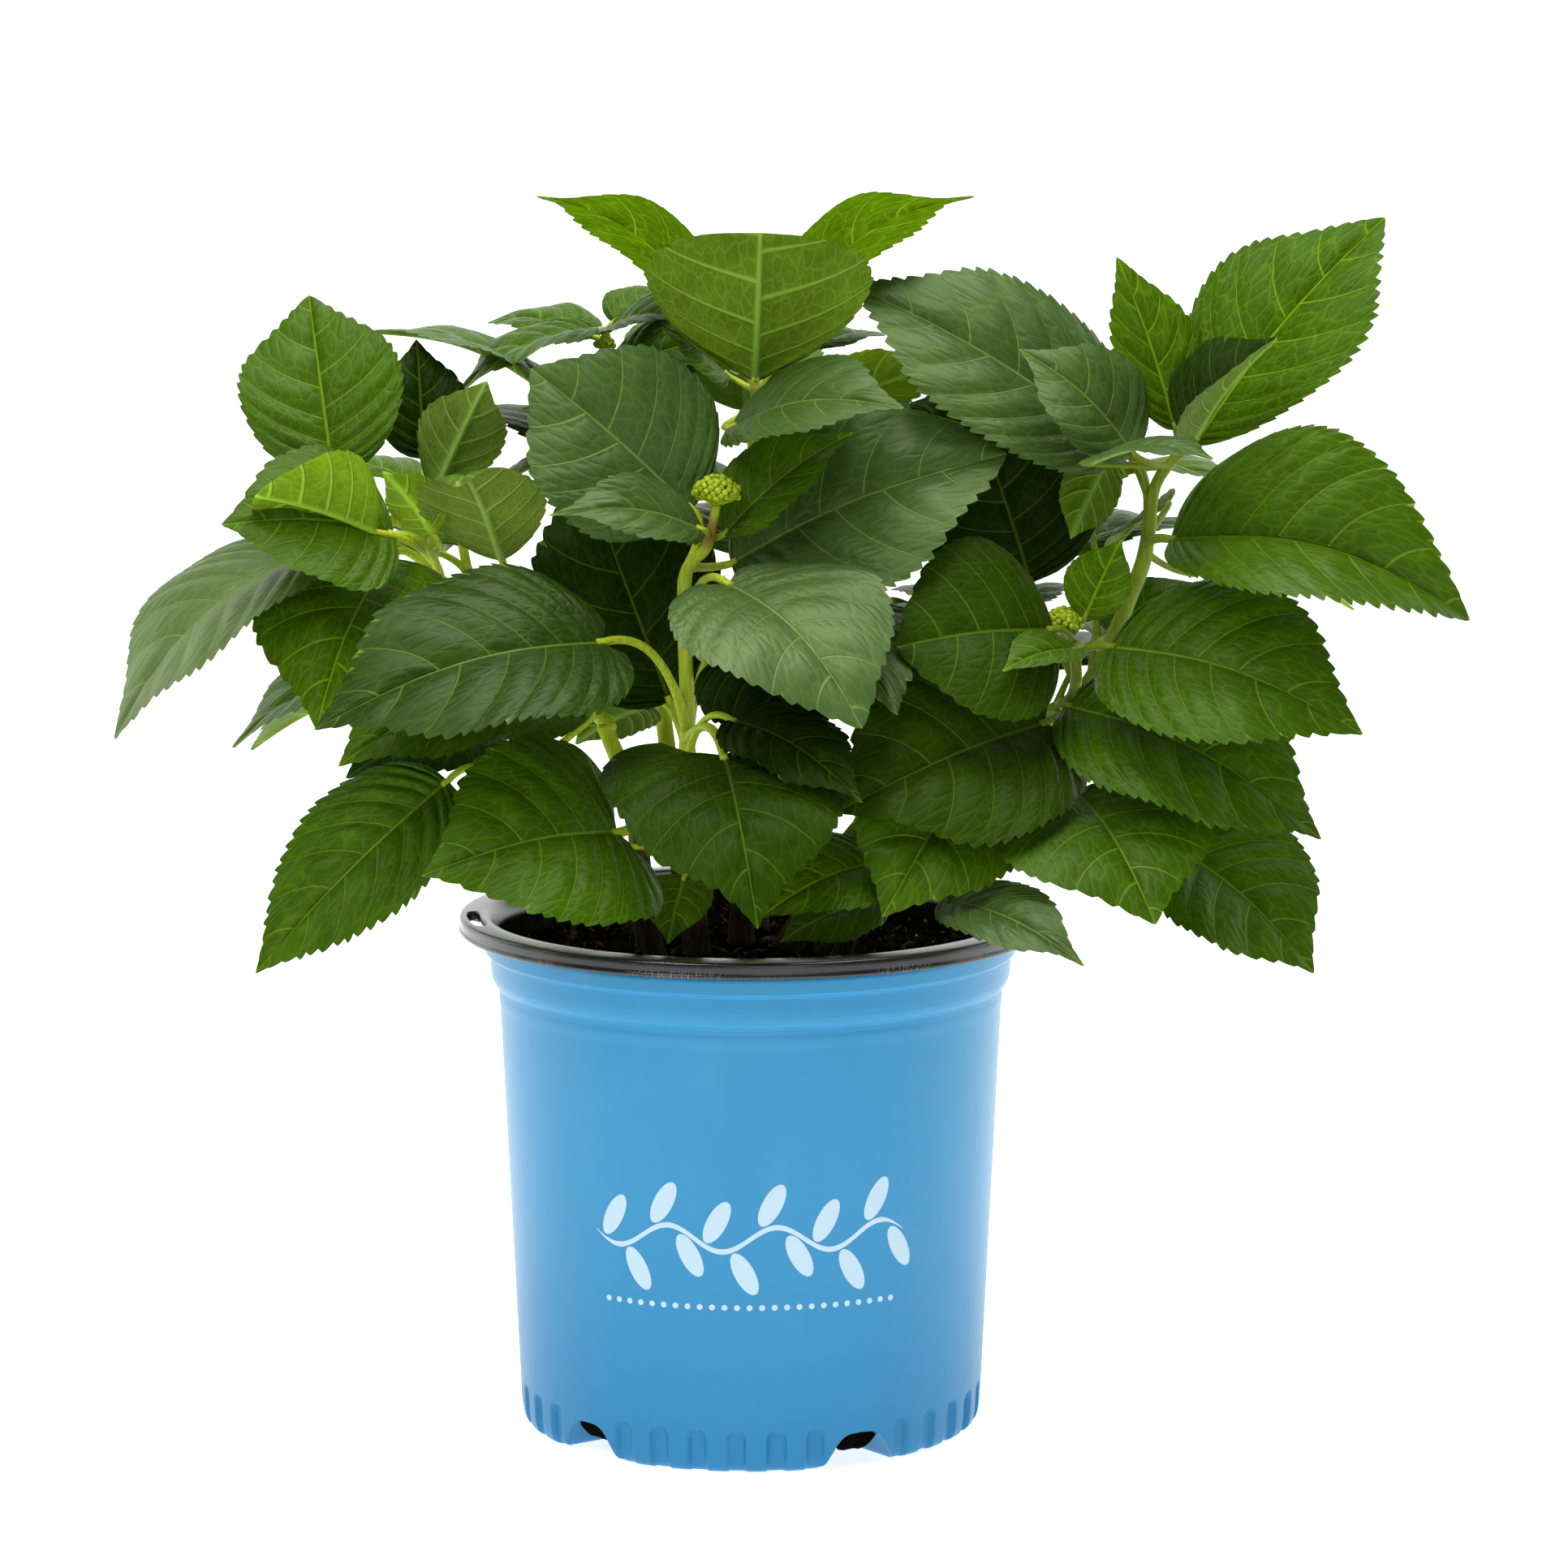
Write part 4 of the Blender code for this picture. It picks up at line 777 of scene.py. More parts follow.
# The leaves of each shoot: name, place on the shoot, blade foot and tip as seen, width, way its upper
# face looks (right, towards the viewer, up), arch, fold, and tone of green.
LEAVES = {
    "shoot_front": (
        ("f", 0.22, (-57, 318, 58), (-179, 282, 108), 92, (0.0, 0.62, 0.78), 0.10, 0.10, "deep"),
        ("k", 0.18, (-13, 277, 72), (3, 201, 148), 96, (0.0, 0.66, 0.75), 0.12, -0.08, "dark"),
        ("w", 0.24, (-12, 343, 52), (46, 284, 112), 90, (0.25, 0.66, 0.70), 0.12, 0.05, "satin"),
        ("x", 0.60, (-8, 350, 22), (105, 395, 40), 76, (-0.30, 0.80, 0.55), 0.08, 0.10, "dusk"),
        ("y", 0.60, (-24, 372, 24), (-90, 430, 22), 86, (0.25, 0.90, 0.35), 0.05, 0.10, "dusk"),
        ("z", 0.82, (-20, 364, 42), (-83, 370, 76), 50, (0.0, 0.72, 0.68), 0.12, 0.15, "dusk"),
        ("aa", 0.82, (-11, 362, 24), (42, 404, 22), 40, (-0.4, 0.70, 0.55), 0.08, 0.30, "mid"),
        ("u", 0.14, (-33, 293, 4), (-71, 395, -22), 72, (-0.1, 0.90, 0.40), 0.06, 0.08, "shade"),
        ("u2", 0.12, (-10, 313, 12), (30, 272, 48), 60, (0.1, 0.70, 0.70), 0.10, 0.08, "shade"),
        ("l", 0.06, (-8, 286, 30), (46, 252, 70), 60, (0.0, 0.60, 0.80), 0.10, 0.08, "shade"),
        ("v", 0.08, (-42, 292, 8), (-72, 276, -14), 34, (0.0, -0.6, 0.7), 0.05, 0.10, "mid"),
    ),
    "shoot_right": (
        ("hh", 0.97, (182, 399, 4), (260, 492, -20), 78, (-0.50, 0.75, 0.40), 0.06, 0.12, "bright"),
        ("ii", 0.94, (174, 405, 8), (150, 476, -6), 40, (0.40, 0.85, 0.30), 0.04, 0.20, "bright"),
        ("jj", 0.97, (180, 398, 14), (216, 443, 46), 46, (-0.60, 0.40, 0.60), 0.05, 0.70, "deep"),
        ("ll1", 0.86, (157, 395, 22), (110, 438, 20), 48, (0.30, 0.80, 0.50), 0.12, 0.20, "dusk"),
        ("ll2", 0.86, (140, 392, 26), (190, 393, 56), 42, (-0.1, 0.05, 1.0), 0.10, 0.05, "dusk"),
        ("ff", 0.60, (172, 360, 20), (295, 328, 48), 92, (0.05, 0.75, 0.65), 0.17, 0.45, "mid"),
        ("ff2", 0.58, (180, 346, -6), (248, 331, -30), 52, (0.1, 0.0, 1.0), 0.10, 0.05, "young"),
        ("kk", 0.52, (153, 396, 4), (40, 465, -2), 80, (0.35, 0.78, 0.55), 0.06, 0.10, "dusk"),
        ("nn", 0.30, (115, 342, -14), (91, 413, -20), 72, (0.1, 0.95, 0.15), 0.06, 0.06, "shade"),
        ("mm", 0.34, (118, 392, -24), (58, 414, -34), 48, (0.2, 0.60, 0.75), 0.08, 0.10, "shade"),
        ("oo", 0.70, (147, 395, -4), (131, 360, 14), 26, (0.0, -0.9, 0.3), 0.05, 0.10, "bright"),
        ("ff3", 0.62, (170, 374, -10), (148, 354, -42), 38, (0.0, 0.50, 0.85), 0.06, 0.10, "mid"),
        ("ee2", 0.22, (146, 322, -10), (184, 342, -32), 32, (0.0, 0.50, 0.90), 0.08, 0.10, "mid"),
    ),
    "shoot_side": (
        ("bb", 0.80, (124, 323, 42), (60, 316, 62), 78, (-0.1, 0.85, 0.50), 0.08, 0.06, "dark"),
        ("cc", 0.92, (137, 328, 32), (152, 360, 24), 28, (-0.2, 0.90, 0.30), 0.06, 0.25, "bright"),
        ("dd", 0.85, (134, 315, 38), (103, 306, 64), 26, (0.0, 0.50, 0.85), 0.08, 0.20, "mid"),
        ("ee", 0.72, (147, 316, 36), (251, 280, 80), 88, (0.0, 0.70, 0.70), 0.11, 0.10, "mid"),
        ("gg", 0.30, (129, 292, 24), (234, 237, 60), 84, (0.0, 0.60, 0.80), 0.11, 0.10, "mid"),
        ("m", 0.20, (125, 286, 40), (35, 248, 92), 96, (-0.15, 0.85, 0.55), 0.06, 0.10, "dark"),
    ),
    "shoot_low_right": (
        ("n", 0.70, (89, 262, 40), (54, 205, 100), 74, (0.2, 0.70, 0.70), 0.10, 0.08, "mid"),
        ("o", 0.95, (133, 257, 42), (166, 202, 104), 96, (0.1, 0.72, 0.68), 0.10, 0.08, "mid"),
        ("p", 0.95, (171, 236, 12), (231, 182, 46), 76, (0.35, 0.70, 0.60), 0.08, 0.12, "mid"),
        ("q", 0.30, (79, 212, 72), (137, 185, 120), 46, (0.0, 0.60, 0.80), 0.10, 0.10, "dusk"),
        ("t", 0.34, (55, 228, 72), (4, 205, 106), 48, (0.0, 0.60, 0.80), 0.10, 0.10, "bright"),
        ("r", 0.30, (54, 212, 62), (12, 195, 76), 36, (0.0, 0.50, 0.80), 0.08, 0.05, "mid"),
    ),
    "shoot_left": (
        ("a", 0.96, (-171, 386, 14), (-181, 460, -24), 66, (0.0, 0.85, 0.45), 0.04, 0.06, "mid"),
        ("a2", 0.92, (-134, 393, -26), (-137, 442, -50), 38, (0.1, 0.70, 0.60), 0.06, 0.10, "shade"),
        ("b", 0.74, (-146, 362, 18), (-217, 366, 46), 78, (0.0, 0.68, 0.72), 0.08, 0.08, "mid"),
        ("c", 0.80, (-154, 363, 38), (-203, 378, 62), 62, (0.0, -0.55, 0.45), 0.05, 0.15, "young"),
        ("c2", 0.86, (-130, 362, 14), (-151, 388, 12), 28, (0.1, -0.8, 0.5), 0.05, 0.20, "young"),
        ("d", 0.76, (-175, 357, 36), (-261, 278, 68), 82, (-0.50, 0.40, 0.78), 0.12, 0.08, "sheen"),
        ("e", 0.66, (-148, 352, 38), (-178, 282, 90), 84, (-0.2, 0.68, 0.70), 0.10, 0.08, "bright"),
        ("vv", 0.96, (-129, 379, -8), (-108, 425, 14), 58, (0.0, -0.85, 0.30), 0.06, 0.08, "pale"),
        ("ww", 0.50, (-102, 352, 4), (-120, 392, 50), 78, (0.0, -0.7, 0.7), 0.06, 0.10, "pale"),
    ),
    "shoot_low_left": (
        ("j", 0.36, (-51, 240, 70), (-135, 222, 120), 88, (0.0, 0.80, 0.60), 0.10, 0.08, "mid"),
        ("i", 0.60, (-124, 261, 42), (-203, 182, 62), 62, (-0.2, 0.80, 0.55), 0.05, 0.10, "mid"),
        ("g", 0.95, (-101, 297, 46), (-169, 267, 96), 60, (0.0, 0.60, 0.80), 0.10, 0.08, "mid"),
        ("g2", 0.90, (-65, 293, 30), (-125, 284, 34), 44, (0.0, 0.60, 0.80), 0.08, 0.08, "mid"),
        ("h", 0.85, (-105, 287, 26), (-166, 262, 64), 55, (0.0, 0.60, 0.80), 0.10, 0.08, "deep"),
        ("s", 0.30, (-27, 222, 58), (-34, 194, 82), 28, (0.0, 0.70, 0.70), 0.08, 0.10, "bright"),
    ),
    "shoot_top": (
        ("pp", 0.98, (2, 425, -10), (4, 487, 14), 94, (0.0, -0.95, 0.30), -0.10, 0.12, "lit"),
        ("qq", 0.96, (-15, 443, -22), (-88, 501, -34), 64, (0.40, 0.35, 0.85), 0.15, 0.12, "lit"),
        ("rr", 0.96, (12, 442, -27), (92, 501, -42), 68, (-0.40, 0.35, 0.85), 0.15, 0.12, "lit"),
        ("ss", 0.74, (-8, 406, 2), (63, 414, 38), 56, (0.0, 0.60, 0.80), 0.10, 0.10, "dusk"),
        ("tt", 0.84, (22, 408, -36), (81, 432, -18), 48, (0.0, -0.6, 0.75), 0.06, 0.10, "young"),
        ("top5", 0.90, (23, 438, -38), (55, 444, -70), 38, (0.0, 0.10, 1.0), 0.06, 0.10, "mid"),
        ("top6", 0.88, (-9, 427, -24), (-36, 446, -8), 30, (0.1, 0.60, 0.70), 0.06, 0.10, "mid"),
    ),
    "shoot_back_left": (
        ("bl1", 0.96, (-62, 446, -62), (-121, 419, -48), 54, (-0.2, 0.15, 1.0), 0.10, 0.08, "mid"),
        ("bl2", 0.96, (-64, 443, -74), (-108, 449, -104), 36, (0.0, 0.30, 1.0), 0.08, 0.10, "mid"),
        ("bl4", 0.98, (-56, 449, -66), (-30, 461, -92), 30, (0.0, 0.40, 0.90), 0.08, 0.10, "mid"),
        ("bl5", 0.98, (-58, 446, -56), (-27, 451, -30), 34, (0.0, 0.50, 0.90), 0.10, 0.15, "mid"),
        ("bl6", 0.70, (-56, 428, -60), (-8, 442, -62), 40, (-0.2, 0.50, 0.80), 0.08, 0.10, "mid"),
    ),
}
# Opposite pairs up the far side: shoot, seed, turn of the first pair, number of pairs, stretch of
# the shoot that bears them, and the first and the last leaves' lengths.
PAIRED = (
    ("shoot_rear_left", 11, 205.0, 5, (0.05, 0.97), (128, 66)),
    ("shoot_rear_right", 23, 335.0, 5, (0.05, 0.97), (128, 66)),
    ("shoot_rear_middle", 37, 270.0, 5, (0.05, 0.97), (124, 66)),
    ("shoot_back_left", 41, 250.0, 2, (0.10, 0.60), (106, 88)),
    ("shoot_top", 53, 255.0, 2, (0.10, 0.55), (100, 90)),
)


def along(path, place):
    """Point and direction at a share of the way along a path."""
    spot = min(max(place, 0.0), 1.0) * (len(path) - 1)
    k = min(int(spot), len(path) - 2)
    return path[k].lerp(path[k + 1], spot - k), (path[k + 1] - path[k]).normalized()


def blade_frame(foot, tip, face):
    """The blade's lengthwise, upward and sideways directions."""
    axis = (tip - foot).normalized()
    normal = Vector(face)
    normal = (normal - axis * normal.dot(axis)).normalized()
    return axis, normal, axis.cross(normal)


def half_width(s, width):
    """Half the width of a leaf's room at a share of the way from its foot to its tip."""
    top = BLUNT / (BLUNT + DRAWN)
    return 0.5 * width * s ** BLUNT * (1.0 - s) ** DRAWN / (top ** BLUNT * (1.0 - top) ** DRAWN)


def stalk_bend(start, foot, axis):
    """The point a leaf stalk bends towards on its way from the stem into the blade's own direction."""
    reach = (foot - start).length
    return foot - axis * (0.4 * reach) + Vector((0.0, 0.0, 0.10 * reach))


def stalk_point(start, bend, foot, t):
    """The point at t of a stalk's curve, which leaves its start towards bend and ends at foot."""
    return start * (1 - t) ** 2 + bend * (2 * t * (1 - t)) + foot * t * t


def space_rings(start, foot, tip, width, face, arch, fold):
    """The room a leaf needs: rings of four points along its stalk and along its blade."""
    axis, normal, across = blade_frame(foot, tip, face)
    length = (tip - foot).length
    bend = stalk_bend(start, foot, axis)
    stalk, blade = [], []
    for t in (0.0, 0.42, 0.76):
        point = stalk_point(start, bend, foot, t)
        way = ((bend - start) * (1 - t) + (foot - bend) * t).normalized()
        side = (across - way * across.dot(way)).normalized()
        top = side.cross(way)
        radius = 2.2 - 0.6 * t + CLEAR
        side, top = side * radius, top * radius
        stalk.append([point - side, point + top, point + side, point - top])
    for s in (0.0, 0.07, 0.28, 0.56, 0.82, 1.0):
        middle = foot + axis * (length * s) + normal * (arch * length * math.sin(math.pi * s))
        half = max(half_width(s, width), 1.7 - 1.1 * s) + CLEAR
        wide = across * (half * math.sqrt(1.0 - fold * fold))
        thick = normal * (1.2 * (1.0 - 0.45 * s) + CLEAR)
        lift = normal * (fold * half)
        blade.append([middle - wide + lift, middle + thick, middle + wide + lift, middle - thick])
    return stalk, blade


def space_tree(*runs):
    """A search tree of closed runs of rings, each ring joined to the next and the two ends filled."""
    solid = bmesh.new()
    for rings in runs:
        loops = [[solid.verts.new(p) for p in ring] for ring in rings]
        sides = len(rings[0])
        for low, high in zip(loops, loops[1:]):
            for j in range(sides):
                n = (j + 1) % sides
                solid.faces.new((low[j], high[j], high[n], low[n]))
        solid.faces.new(loops[0])
        solid.faces.new(loops[-1][::-1])
    tree = BVHTree.FromBMesh(solid, epsilon=0.0)
    solid.free()
    return tree


def node_tree(name):
    """A search tree of a solid of the frame, in millimetres."""
    mesh = bpy.data.objects[name].data
    corners = [v.co * 1000.0 for v in mesh.vertices]
    return BVHTree.FromPolygons(corners, [tuple(p.vertices) for p in mesh.polygons])


def stem_rings(path, foot_r, tip_r):
    """Six-sided rings of a stem that tapers along its path."""
    rings, side = [], None
    turns = [j * math.pi / 3 for j in range(6)]
    for k, point in enumerate(path):
        way = (path[min(k + 1, len(path) - 1)] - path[max(k - 1, 0)]).normalized()
        if side is None:
            side = way.cross(Vector((0.0, 1.0, 0.0)) if abs(way.y) < 0.9 else Vector((1.0, 0.0, 0.0)))
        side = (side - way * side.dot(way)).normalized()
        other = way.cross(side)
        radius = foot_r + (tip_r - foot_r) * k / (len(path) - 1)
        rings.append([point + radius * (side * math.cos(turn) + other * math.sin(turn)) for turn in turns])
    return rings


def paired_leaves(shoot, seed, first_turn, pairs, stretch, lengths):
    """Opposite leaves up a far-side shoot, each pair a quarter turn from the one below.

    Low down they are large and droop; higher up they are smaller and rise. Their feet and tips are
    points in space.
    """
    rule = random.Random(seed)
    rows = []
    for pair in range(pairs):
        share = (pair + 0.5) / pairs
        place = stretch[0] + (stretch[1] - stretch[0]) * share
        start, _ = along(shoot_paths[shoot], place)
        height = min(max((start.z - 230.0) / 200.0, 0.0), 1.0)
        for side in (0, 1):
            turn = math.radians(first_turn + 90.0 * pair + 180.0 * side + rule.uniform(-16.0, 16.0))
            way = Vector((math.cos(turn), -math.sin(turn), 0.0))
            outward = Vector((start.x, start.y, 0.0)).normalized()
            way = (way + outward * (0.75 - 0.4 * height)).normalized()
            length = (lengths[0] + (lengths[1] - lengths[0]) * share) * rule.uniform(0.92, 1.06)
            rise = math.radians(-34.0 + 60.0 * height + rule.uniform(-8.0, 8.0))
            stalk = 28.0 - 14.0 * share
            foot = start + way * stalk + Vector((0.0, 0.0, 0.5 * stalk))
            tip = foot + way * (length * math.cos(rise)) + Vector((0.0, 0.0, length * math.sin(rise)))
            face = (0.25 * way.x, -0.25 * way.y, 1.0)
            green = ("deep", "mid", "mid", "bright", "bright")[min(pair + (side and pair % 2), 4)]
            leaf_name = "%s_%d%d" % (shoot, pair, side)
            rows.append((shoot, leaf_name, place, foot, tip, 0.74 * length, face, 0.11, 0.10, green))
    return rows


def moved(foot, tip, tip_shift, shift):
    """A blade's ends moved in depth as seen, or upwards if they are points in space already."""
    if isinstance(foot, Vector):
        higher = Vector((0.0, 0.0, float(shift + tip_shift)))
        return foot + Vector((0.0, 0.0, 0.6 * shift)), tip + higher
    foot = seen(foot[0], foot[1], foot[2] + shift)
    return foot, seen(tip[0], tip[1], tip[2] + shift + tip_shift)


def best_stand(row, start, spread, barred, own):
    """Where a leaf meets nothing that is barred and least of its own shoot: the ends of its blade,
    and the search trees of the blade and of the whole leaf. None if it has no place."""
    _, _, _, foot, tip, width, _, arch, fold, _ = row
    best, fewest = None, None
    for tip_shift, shift in SHIFTS:
        a, b = moved(foot, tip, tip_shift, shift)
        stalk, blade = space_rings(start, a, b, width, spread, arch, fold)
        blade_tree = space_tree(blade)
        whole_tree = space_tree(blade, stalk + blade[:1])
        if any(whole_tree.overlap(other) for other in barred):
            continue
        met = sum(bool(blade_tree.overlap(other)) for other in own)
        if best is None or met < fewest:
            best, fewest = (a, b, blade_tree, whole_tree), met
        if met == 0:
            break
    return best


shoot_paths, shoot_trees = {}, {}
for name, (points, foot_r, tip_r) in SHOOTS.items():
    end, way = cane_ends[name.replace("shoot", "cane")]
    path = smooth_path([end + way * GAP] + [seen(*p) for p in points], 3)
    path.insert(1, path[0] + way * 2.0)
    shoot_paths[name] = path
    shoot_trees[name] = space_tree(stem_rings(path, foot_r, tip_r))
fixed = [node_tree(name) for name in (*CANES, "pot_rim", "soil")]
rows = [(shoot, *leaf) for shoot, own in LEAVES.items() for leaf in own]
for paired in PAIRED:
    rows += paired_leaves(*paired)

# A leaf may not meet the canes, the rim, the mix or another shoot, and meets as little as it can of
# its own shoot. One that finds no place at all is left out.
standing = []
leaves = {name: [] for name in SHOOTS}
for row in rows:
    shoot, leaf_name, place, _, _, width, face, arch, fold, green = row
    start, _ = along(shoot_paths[shoot], place)
    spread = Vector((face[0], -face[1], face[2]))
    barred = fixed + [other for name, other in shoot_trees.items() if name != shoot]
    barred += [other for name, _, other in standing if name != shoot]
    own = [other for name, other, _ in standing if name == shoot] + [shoot_trees[shoot]]
    stand = best_stand(row, start, spread, barred, own)
    if stand:
        foot, tip, blade_tree, whole_tree = stand
        standing.append((shoot, blade_tree, whole_tree))
        leaves[shoot].append((leaf_name, start, foot, tip, width, spread, arch, fold, green))

# The far-side shoots end in a pair of small upright leaves, still half folded.
for name in ("shoot_rear_left", "shoot_rear_right", "shoot_rear_middle"):
    end = shoot_paths[name][-1]
    way = (end - shoot_paths[name][-2]).normalized()
    for side in (-1.0, 1.0):
        outward = Vector((0.8 * side, 0.6 * side, 0.0))
        foot = end + way * 2.5 + outward * 2.0
        tip = foot + (way * 0.87 + outward * 0.5) * (19.0 + 2.0 * side)
        spread = way * 0.4 - outward
        leaves[name].append(("tip%d" % side, end - way, foot, tip, 9.5, spread, 0.10, 0.30, "bright"))

# ---------------------------------------------------------------- shoot stems and leaf stalks
# Soft green stems, swollen and ringed where each pair of leaves joins, and stalks with a channel
# along the top that widen where they clasp the stem.
RED_JOINT = seen(-17, 363, 33) * 0.001  # the red-brown spot below the middle flower head, in metres
STEM_SIDES, STALK_SIDES = 16, 12
# Heart-shaped leaves: how far their lobes reach back past the foot, and how deep the stalk runs in
# between them, as shares of the length.
NOTCHES = {"k": (0.32, 0.13), "w": (0.18, 0.04), "f": (0.14, 0.03), "m": (0.16, 0.05), "j": (0.18, 0.05)}


def stem_finish(name, tint):
    """Green stem skin, multiplied by a tint."""
    plain = (0.25 * tint[0], 0.31 * tint[1], 0.06 * tint[2])
    finish, tree, shader = new_finish(name, plain, 0.5, Specular_IOR_Level=0.25)
    skin = put(tree, "Group", {"Woody": 0.0}, node_tree=stem_skin)
    colour = blended(tree, 1.0, skin.outputs["Colour"], (*tint, 1.0), "MULTIPLY")
    place = own_place(tree)
    reach = put(tree, "VectorMath", {0: place, 1: RED_JOINT}, operation="DISTANCE")
    red = ramped(tree, reach.outputs["Value"], 0.004, 0.009, 0.75, 0.0)
    tree.links.new(blended(tree, red, colour, (0.20, 0.050, 0.022, 1.0)), shader.inputs["Base Color"])
    bumped(tree, shader, skin.outputs["Height"], 0.25, 0.0003)
    return finish


stem_green = stem_finish("stem_green", (1.0, 1.0, 1.0))
# A darker copy of the stem green: painted shade for stems that stand in shadow.
stem_painted_shade = stem_finish("stem_painted_shade", (0.40, 0.44, 0.24))


def leaf_stalk(start, foot, axis, across, width, notch):
    """A stalk bent from the stem into the blade: round, widest at the stem, hollowed along its top."""
    bend = stalk_bend(start, foot, axis)
    foot = foot + axis * notch
    steps = [k / 16.0 for k in range(17)]
    path = [stalk_point(start, bend, foot, t) for t in steps]
    path.append(foot + axis * 3.0)
    share = np.array(steps + [1.05])[:, None]
    thick = min(max(1.0 + width / 78.0, 1.1), 2.3)
    angle = 2.0 * math.pi * np.arange(STALK_SIDES) / STALK_SIDES
    radii = thick * (1.0 + 0.35 * np.exp(-((share / 0.12) ** 2)) - 0.22 * share)
    radii = radii * (1.0 - 0.28 * np.exp(-(((angle - math.pi) / 0.6) ** 2)))
    return sleeve(path, radii, STALK_SIDES, across=tuple(across))


for name, (points, foot_r, tip_r) in SHOOTS.items():
    end, way = cane_ends[name.replace("shoot", "cane")]
    path = smooth_path([end - way * 1.0, end + way * 2.3] + [seen(*p) for p in points], 16)
    share = np.linspace(0.0, 1.0, len(path))[:, None]
    angle = 2.0 * math.pi * np.arange(STEM_SIDES) / STEM_SIDES
    radii = foot_r + (tip_r - foot_r) * share + 0.10 * np.sin(4.0 * angle + 5.0 * share)
    joints = sorted({round(place, 2) for shoot, _, place, *_ in rows if shoot == name})
    for joint in joints:
        radii = radii + 0.28 * np.exp(-(((share - joint) / 0.022) ** 2))
    parts = [sleeve(path, radii, STEM_SIDES)]
    for leaf_name, start, foot, tip, width, spread, arch, fold, _ in leaves[name]:
        axis, normal, across = blade_frame(foot, tip, spread)
        rise = axis + normal * (math.pi * arch)
        notch = NOTCHES.get(leaf_name, (0.0, 0.0))[1] * (tip - foot).length
        parts.append(leaf_stalk(start, foot, rise.normalized(), across, width, notch))
    points, faces = joined(parts)
    # The right and side shoots' stems take the darker copy of the green, a painted shade.
    deep = "right" in name or name == "shoot_side"
    piece = add_piece(name + "_stems", points, faces, [stem_painted_shade if deep else stem_green])
    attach(piece, "root")
    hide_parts(name)

# ---------------------------------------------------------------- leaves
# Broad pointed leaves with coarse forward-leaning teeth. Side veins run from the middle rib in
# arches towards the edge and are sunk in the upper face, which swells between them; the underside
# is paler, with the ribs standing proud. Deep green leaves are older, yellow-green ones young. The
# shade tone, and in part the dark one, is painted shade: darker greens for leaves that lie in the
# shadow of others.
COLUMNS = np.array([  # places across a blade, from edge to edge, closest together at the middle rib
    -1, -0.9, -0.74, -0.56, -0.38, -0.2, -0.075, -0.03, 0, 0.03, 0.075, 0.2, 0.38, 0.56, 0.74, 0.9, 1,
])
GREENS = {  # upper face, underside, vein, gloss, how much it swells between veins
    # shade, and in part dark, are darker copies of the green: painted shade on leaves shadowed by others.
    "shade": ((0.006, 0.020, 0.001), (0.055, 0.105, 0.008), (0.060, 0.105, 0.004), 0.04, 1.5),
    "dark": ((0.017, 0.044, 0.001), (0.075, 0.140, 0.010), (0.075, 0.140, 0.008), 0.06, 1.0),
    "deep": ((0.014, 0.041, 0.002), (0.095, 0.165, 0.016), (0.115, 0.190, 0.016), 0.20, 0.8),
    "dusk": ((0.029, 0.071, 0.011), (0.110, 0.180, 0.028), (0.130, 0.210, 0.030), 0.42, 0.85),
    # satin and sheen: besides their real gloss, their upper faces are lighter and greyer, a painted sheen.
    "satin": ((0.041, 0.088, 0.017), (0.110, 0.180, 0.028), (0.150, 0.230, 0.040), 0.60, 0.7),
    "sheen": ((0.062, 0.118, 0.026), (0.110, 0.180, 0.028), (0.170, 0.250, 0.050), 0.85, 1.0),
    "mid": ((0.033, 0.093, 0.001), (0.095, 0.170, 0.012), (0.155, 0.255, 0.012), 0.16, 1.4),
    "bright": ((0.036, 0.098, 0.001), (0.066, 0.130, 0.003), (0.200, 0.320, 0.010), 0.08, 1.2),
    "lit": ((0.050, 0.118, 0.001), (0.080, 0.150, 0.003), (0.200, 0.320, 0.010), 0.0, 1.0),
    "pale": ((0.050, 0.110, 0.006), (0.130, 0.215, 0.024), (0.180, 0.290, 0.040), 0.08, 1.1),
    "young": ((0.095, 0.180, 0.002), (0.160, 0.280, 0.006), (0.320, 0.430, 0.040), 0.03, 1.0),
}
# Leaves with an outline of their own: how pointed the foot and the tip are, how far the tip bends
# back, how broad the leaf is, and how far its side veins sweep forward.
BLADES = {
    "pp": (1.05, 0.46, 0.10, 1.0, 0.38), "hh": (0.90, 0.86, 0.0, 1.0, 0.30),
    "ii": (0.7, 0.9, 0.0, 1.0, 0.30), "aa": (0.66, 0.92, 0.0, 1.0, 0.30),
    "z": (0.72, 1.15, 0.0, 0.70, 0.30), "k": (0.38, 0.95, 0.02, 1.04, 0.30),
    "j": (0.42, 0.92, 0.0, 1.08, 0.30), "l": (0.60, 0.90, 0.0, 0.68, 0.30),
    "q": (0.60, 0.95, 0.0, 0.80, 0.30), "w": (0.60, 0.80, 0.04, 1.0, 0.30),
    "m": (0.60, 0.86, 0.0, 1.0, 0.30), "ff": (0.50, 0.80, 0.03, 1.0, 0.30),
    "qq": (0.80, 1.10, 0.0, 1.0, 0.30), "rr": (0.80, 1.10, 0.0, 1.0, 0.30),
    "a": (0.62, 0.80, 0.0, 1.0, 0.30), "y": (0.66, 0.80, 0.0, 1.0, 0.30),
    "x": (0.72, 0.76, 0.0, 1.18, 0.30), "kk": (0.62, 0.84, 0.0, 1.0, 0.30),
    "bb": (0.56, 0.70, 0.02, 1.06, 0.30), "u": (0.60, 0.90, 0.0, 1.1, 0.30),
    "nn": (0.60, 0.90, 0.0, 1.1, 0.30), "vv": (0.9, 0.9, 0.0, 0.60, 0.30),
    "ww": (0.72, 0.72, 0.3, 0.66, 0.30), "c": (0.8, 0.7, 0.0, 1.0, 0.30),
}
PLAIN_BLADE = (0.56, 0.90, 0.0, 1.0, 0.30)
